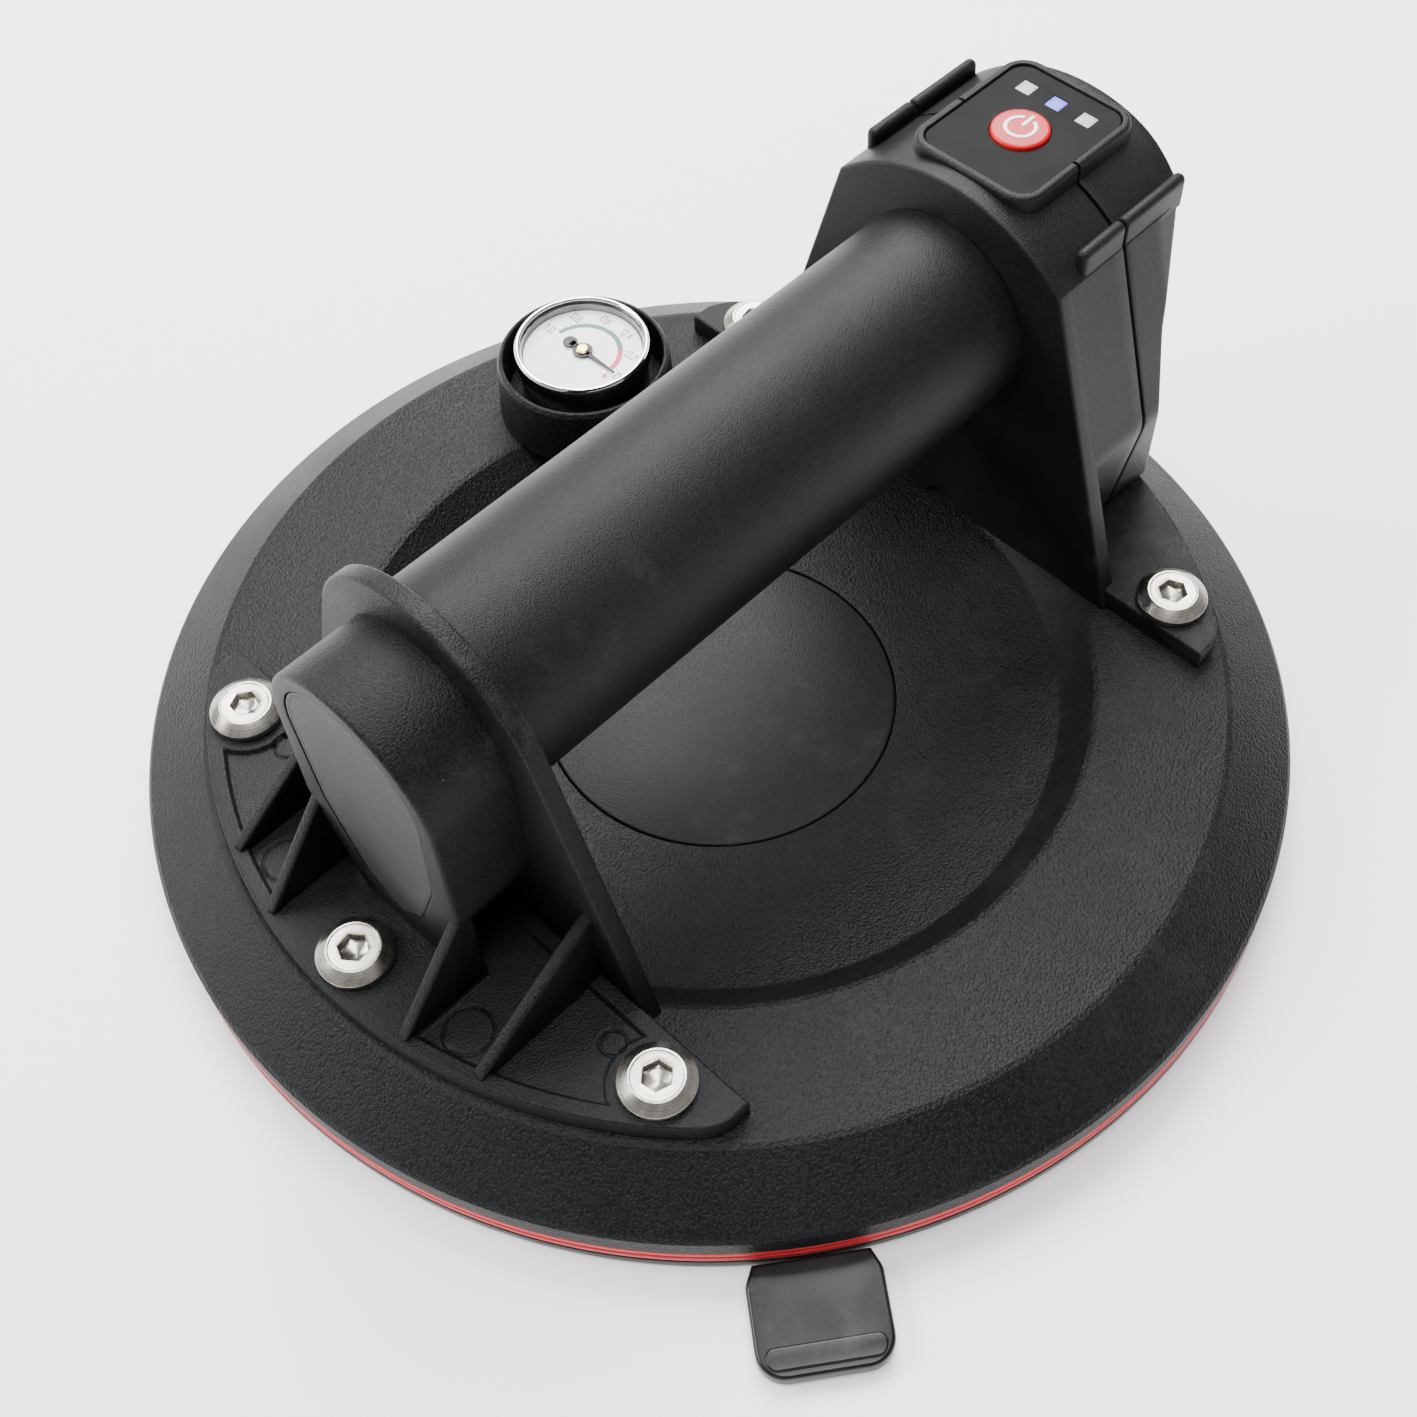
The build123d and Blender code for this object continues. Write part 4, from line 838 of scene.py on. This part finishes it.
def makePadHalf(name, look, sign, stand):
    # the rim's section carried round half of the pad's rounded rectangle, from seam to seam
    (x0, x1), half = look["x"], look["halfY"]
    seam = housingLook["seam"][0 if sign < 0 else 1]
    end = x0 if sign < 0 else x1
    corners = [(seam, -half), (end, -half), (end, half), (seam, half)]
    path = softened(corners, [0, look["corner"], look["corner"], 0], 14, closed=False)
    ahead = np.gradient(path, axis=0)
    ahead /= np.linalg.norm(ahead, axis=1)[:, None]
    ahead[0], ahead[-1] = (sign, 0.0), (-sign, 0.0)
    inward = np.stack([-ahead[:, 1], ahead[:, 0]], 1) * sign
    top, base, edge, inner, wall = (look[k] for k in ("top", "base", "edge", "inner", "wall"))
    t, s = np.linspace(0, math.pi / 2, 7), np.linspace(0, math.pi / 2, 5)
    outerArc = np.stack([edge * (1 - np.cos(t)), top - edge * (1 - np.sin(t))], 1)
    innerArc = np.stack([wall - inner * (1 - np.sin(s)), top - inner * (1 - np.cos(s))], 1)
    section = np.array([(0, base), *outerArc, *innerArc, (wall, 88.0), (wall + 1.2, base)])
    points = path[:, None] + inward[:, None] * section[None, :, :1]
    rows = np.concatenate([points, np.broadcast_to(section[None, :, 1:], points.shape[:2] + (1,))], -1)
    return settle(loft(name, rows), plain, stand)


makePadHalf("padNear", padLook, -1.0, "rear_bracket")
makePadHalf("padFar", padLook, 1.0, "rear_cover")
stripLook = {"y": 21.7, "z": 83.15, "radius": 1.15, "near": (61.2, 71.3), "far": (71.9, 87.4)}
for side, label in sides:
    middle, r = side * stripLook["y"], stripLook["radius"]
    crest = arcOf((middle, stripLook["z"]), r, 0, 180, 17)
    strip = np.concatenate([[(middle - r, 78.6), (middle + r, 78.6)], crest])
    settle(slab("stripNear" + label, strip, *stripLook["near"], 0.4, "x", foot=0.95), plain, "rear_bracket")
    settle(slab("stripFar" + label, strip, *stripLook["far"], 0.95, "x", foot=0.4), plain, "rear_cover")
print("housing ready")

# panel, button and lights

buttonLook = {"x": 72.3, "radius": 4.9, "top": 90.2, "edge": 0.6}


def makeButton(look):
    r, top, edge = look["radius"], look["top"], look["edge"]
    turns = np.linspace(0, math.pi / 2, 9)
    rim = [(r - edge * (1 - math.cos(t)), top - 0.14 - edge * (1 - math.sin(t))) for t in turns]
    dome = [(s, top - 0.14 * (s / (r - edge)) ** 2) for s in np.linspace(r - edge, 0, 12)[1:]]
    profile = [(0, 86.2), (r + 0.9, 86.2), (r + 0.9, 87.0), (r, 87.0), *rim, *dome]
    return settle(lathe("buttonCap", profile, (look["x"], 0), steps=160), redCap, "power_button", body="button")


def makePowerMark(look):
    # open ring and bar, printed a hair above the cap
    z = look["top"]
    gap = math.degrees(math.asin(0.95 / 2.45))
    section = ((2.75, -0.3), (2.75, 0.03), (2.68, 0.07), (2.22, 0.07), (2.15, 0.03), (2.15, -0.3))
    rows = []
    for r, height in section:
        arc = arcOf((look["x"], 0), r, gap, 360 - gap, 80)
        rows.append(np.concatenate([arc, np.full((80, 1), z + height)], 1))
    opened = loft("markRing", np.stack(rows, 1))
    first, last = look["x"] + 0.4, look["x"] + 3.4
    outline = softened([(first, -0.3), (last, -0.3), (last, 0.3), (first, 0.3)], 0.12, 4)
    bar = slab("markBar", outline, z - 0.3, z + 0.07, 0.06, steps=2)
    return settle(merged("powerSign", [opened, bar]), whitePrint, "power_mark", body="button")


makeButton(buttonLook)
makePowerMark(buttonLook)


windowLook = {"x": 81.5, "pitch": 6.1, "half": 1.45, "low": 88.0, "top": 89.36}


def makeWindow(look, name, place, paint, stand):
    middle = np.array([look["x"], place * look["pitch"]])
    square = softened(middle + look["half"] * np.array([(-1, -1), (1, -1), (1, 1), (-1, 1)]), 0.25, 4)
    return settle(slab(name, square, look["low"], look["top"], 0.12, steps=3), paint, stand)


makeWindow(windowLook, "lightRight", -1, whiteLight, "status_leds")
makeWindow(windowLook, "lightLeft", 1, whiteLight, "status_leds")
makeWindow(windowLook, "lightMiddle", 0, blueLight, "blue_led")
print("controls ready")

# gauge

gaugeAt = (28.7, 63.1)
gaugeLook = {"dialZ": 30.6, "needle": (30.95, 31.2), "length": 8.6,
             "numbers": ("0", "0.2", "0.4", "0.6", "0.8", "1.0"), "numberR": 9.3, "numberSize": 1.5, "stroke": 0.1}
bossProfile = softened([(5.05, 18.05), (17.0, 18.05), (16.3, 29.3), (15.8, 30.1), (15.3, 30.2), (15.1, 29.9),
                        (15.1, 21.0), (5.05, 21.0)], [0, 0.3, 0.8, 0.4, 0.1, 0.1, 0.4, 0], 5)
settle(lathe("gaugeCollar", bossProfile, gaugeAt), grained, "gauge_boss")
caseProfile = softened([(4.0, 21.1), (11.6, 21.1), (12.2, 21.7), (12.2, 31.9), (11.4, 31.9), (11.4, 22.0),
                        (4.0, 22.0)], [0, 0.3, 0.4, 0.1, 0.1, 0.3, 0], 4)
settle(lathe("gaugeCan", caseProfile, gaugeAt), caseSteel, "gauge_case")
bezelProfile = softened([(12.22, 29.6), (12.7, 29.6), (12.7, 32.7), (12.4, 33.2), (12.0, 33.2), (11.7, 32.9),
                         (11.7, 32.65), (12.22, 32.65)], [0, 0.15, 0.35, 0.35, 0.3, 0.25, 0.1, 0], 6)
settle(lathe("gaugeRing", bezelProfile, gaugeAt, steps=256), chrome, "gauge_bezel")
lensProfile = [(0, 32.02), (12.1, 32.02), (12.14, 32.1), (12.14, 32.5), (12.1, 32.58), (0, 32.6)]
settle(lathe("gaugeWindow", lensProfile, gaugeAt), lensGlass, "gauge_lens")
dialProfile = [(0.66, 30.12), (11.25, 30.12), (11.3, 30.2), (11.3, 30.52), (11.2, 30.6), (0.72, 30.6), (0.66, 30.55)]
settle(lathe("gaugeScale", dialProfile, gaugeAt), dialFace, "gauge_dial")
hubProfile = softened([(0.0, 31.2), (1.3, 31.2), (1.3, 31.5), (0.95, 31.7), (0.0, 31.74)],
                      [0, 0.05, 0.12, 0.15, 0], 4, closed=False)
settle(lathe("needleCap", hubProfile, gaugeAt, steps=96), brass, "gauge_hub", body="pointer")
stopProfile = softened([(0, 30.6), (0.45, 30.6), (0.45, 31.5), (0, 31.5)], [0, 0, 0.12, 0], 4, closed=False)
settle(lathe("stopPin", stopProfile, (gaugeAt[0] - 1.5, gaugeAt[1] - 7.4), steps=48), brass, "gauge_stop")


def makeNeedle(look):
    # tapered blade, round waist at the arbor and a counterweight behind
    (gx, gy), (low, high), tip = gaugeAt, look["needle"], -look["length"]
    blade = softened([(-0.16, tip), (0.16, tip), (0.5, -0.6), (0.75, 3.2), (-0.75, 3.2), (-0.5, -0.6)],
                     [0.08, 0.08, 0.6, 0.3, 0.3, 0.6], 4)
    parts = [slab("blade", blade + gaugeAt, low, high, 0.06, steps=2, spacing=0.5)]
    for name, r, middle, steps in (("waist", 1.9, gaugeAt, 96), ("weight", 1.4, (gx, gy + 3.4), 72)):
        disc = [(0, low), (r - 0.06, low), (r, low + 0.05), (r, high - 0.06), (r - 0.06, high), (0, high)]
        parts.append(lathe(name, disc, middle, steps=steps))
    parts.append(lathe("arbor", [(0, 27.6), (0.58, 27.6), (0.58, 31.0), (0, 31.0)], gaugeAt, steps=48))
    return settle(merged("needle", parts), needlePaint, "gauge_pointer", body="pointer")


makeNeedle(gaugeLook)

# strokes of plain figures on a grid 1 wide and 2 high
figures = {"0": [[(0, 0), (1, 0), (1, 2), (0, 2), (0, 0)]], "1": [[(0.2, 1.6), (0.6, 2), (0.6, 0)]],
           "2": [[(0, 1.7), (0.2, 2), (0.8, 2), (1, 1.7), (1, 1.3), (0, 0), (1, 0)]],
           "4": [[(0.75, 0), (0.75, 2), (0, 0.6), (1, 0.6)]],
           "6": [[(0.9, 2), (0.3, 1.6), (0, 1), (0, 0.2), (0.2, 0), (0.8, 0), (1, 0.2), (1, 0.9), (0.8, 1.1),
                  (0.05, 1.0)]],
           "8": [[(0.1, 1.1), (0, 1.8), (0.2, 2), (0.8, 2), (1, 1.8), (0.9, 1.1), (0.1, 1.1), (0, 0.8), (0, 0.2),
                  (0.2, 0), (0.8, 0), (1, 0.2), (1, 0.8), (0.9, 1.1)]],
           ".": [[(0.3, 0), (0.3, 0.16)]]}


def makeFigures(look):
    # each stroke becomes short flat bars; the text reads upright seen from -X
    size = look["numberSize"]
    bars, z = [], look["dialZ"] + 0.02
    for place, text in enumerate(look["numbers"]):
        turn = math.pi * place / (len(look["numbers"]) - 1)
        middle = np.array([math.sin(turn), -math.cos(turn)]) * look["numberR"]
        width = sum(0.5 if c == "." else 1.35 for c in text) - 0.35
        left = -width / 2
        for character in text:
            for stroke in figures[character]:
                line = (np.array(stroke) + (left, -1.0)) * size / 2
                line = np.stack([line[:, 1], -line[:, 0]], 1) + middle
                for a, b in zip(line[:-1], line[1:]):
                    along = (b - a) / np.linalg.norm(b - a)
                    across = np.array([-along[1], along[0]]) * look["stroke"]
                    a, b = a - along * 0.07, b + along * 0.07
                    bars.append(np.stack([a - across, b - across, b + across, a + across]))
            left += 0.5 if character == "." else 1.35
    bars = np.array(bars).reshape(-1, 2) + gaugeAt
    points = np.concatenate([bars, np.full((len(bars), 1), z)], 1)
    settle(makeMesh("dialFigures", points, [np.arange(len(bars)).reshape(-1, 4)]), darkPrint)


makeFigures(gaugeLook)
print("gauge ready")

# what stays as drawn: simple inner and hidden parts

innerLooks = {
    "cover_screws": satin("coverScrewSteel", (0.30, 0.30, 0.31), (0.50, 0.50, 0.51), (0.25, 0.4), metal=1.0),
    "control_panel": panelFilm,
    "screw_inserts": brass, "port_nipple": brass, "bourdon_tube": brass, "gauge_stem": brass, "gauge_nut": brass,
    "control_board": satin("boardGreen", (0.006, 0.09, 0.035), (0.012, 0.16, 0.06), (0.3, 0.45)),
    "battery_cell": satin("cellWrap", (0.01, 0.05, 0.25), (0.02, 0.09, 0.38), (0.3, 0.45)),
    "battery_spacers": satin("grayFoam", (0.03, 0.03, 0.03), (0.09, 0.09, 0.09), (0.85, 0.95), depth=0.15 * mm),
    "pump_motor": satin("motorCan", (0.34, 0.34, 0.35), (0.52, 0.52, 0.53), (0.28, 0.42), metal=1.0),
    "pump_rotor": satin("shaftSteel", (0.45, 0.45, 0.46), (0.62, 0.62, 0.63), (0.2, 0.32), metal=1.0),
    "usb_socket": satin("socketNickel", (0.50, 0.50, 0.50), (0.66, 0.66, 0.66), (0.22, 0.34), metal=1.0),
    "intake_filter": satin("filterSponge", (0.02, 0.02, 0.02), (0.10, 0.10, 0.10), (0.85, 0.95), depth=0.2 * mm),
    "air_hose": satin("milkySilicone", (0.50, 0.50, 0.48), (0.66, 0.66, 0.63), (0.3, 0.45)),
    "pump_head": satin("pumpWhite", (0.55, 0.55, 0.53), (0.70, 0.70, 0.68), (0.4, 0.55)),
    "filter_cover": plain,
    "port_flap": rubber,
}
hiddenLook = satin("innerBlack", (0.008, 0.008, 0.009), (0.022, 0.022, 0.023), (0.4, 0.6))
for name, node in nodes.items():
    node.data.materials.clear()
    node.data.materials.append(innerLooks.get(name, hiddenLook))

# studio


def makeFloor():
    size = 6.0
    mesh = bpy.data.meshes.new("floor")
    mesh.from_pydata([(-size, -size, 0), (size, -size, 0), (size, size, 0), (-size, size, 0)], [], [(0, 1, 2, 3)])
    floor = placed("floor", mesh)
    paint = Paint("floor")
    tone = paint.noise(3.0, 2.0)
    mesh.materials.append(paint.finish(baseColor=tone.between((0.90, 0.90, 0.90), (0.93, 0.93, 0.93)), roughness=0.7))


def makeLight(name, place, target, size, watts):
    data = bpy.data.lights.new(name, "AREA")
    data.shape = "RECTANGLE"
    data.size, data.size_y = size
    data.energy = watts
    light = placed(name, data)
    light.location = place
    light.rotation_euler = (Vector(target) - Vector(place)).to_track_quat("-Z", "Y").to_euler()


lightLook = (("beyondSoftbox", (0.55, 0.60, 1.00), (0, 0, 0), (0.9, 0.9), 48.0),
             ("leftSoftbox", (-0.7, 0.9, 0.8), (0, 0, 0.05), (0.8, 0.5), 26.0),
             ("overheadSoftbox", (-0.1, -0.2, 1.4), (0, 0, 0), (0.7, 0.7), 21.0))
cameraLook = {"place": (-0.132897, -0.143278, 0.283147), "right": (0.68545, -0.72806, -0.00960),
              "up": (0.60049, 0.55779, 0.57296), "back": (-0.41179, -0.39850, 0.81953), "lens": 48.03,
              "shift": (-0.0503, 0.0014)}


def makeCamera(look):
    data = bpy.data.cameras.new("camera")
    data.lens, data.sensor_width = look["lens"], 36.0
    data.shift_x, data.shift_y = look["shift"]
    data.clip_start, data.clip_end = 0.01, 20.0
    camera = placed("camera", data)
    turn = Matrix((look["right"], look["up"], look["back"])).transposed().to_4x4()
    camera.matrix_world = Matrix.Translation(look["place"]) @ turn
    bpy.context.scene.camera = camera


makeFloor()
for light in lightLook:
    makeLight(*light)
world = bpy.data.worlds.new("studio")
world.use_nodes = True
world.node_tree.nodes["Background"].inputs["Color"].default_value = (1, 1, 1, 1)
world.node_tree.nodes["Background"].inputs["Strength"].default_value = 0.46
bpy.context.scene.world = world
makeCamera(cameraLook)
print("studio ready")
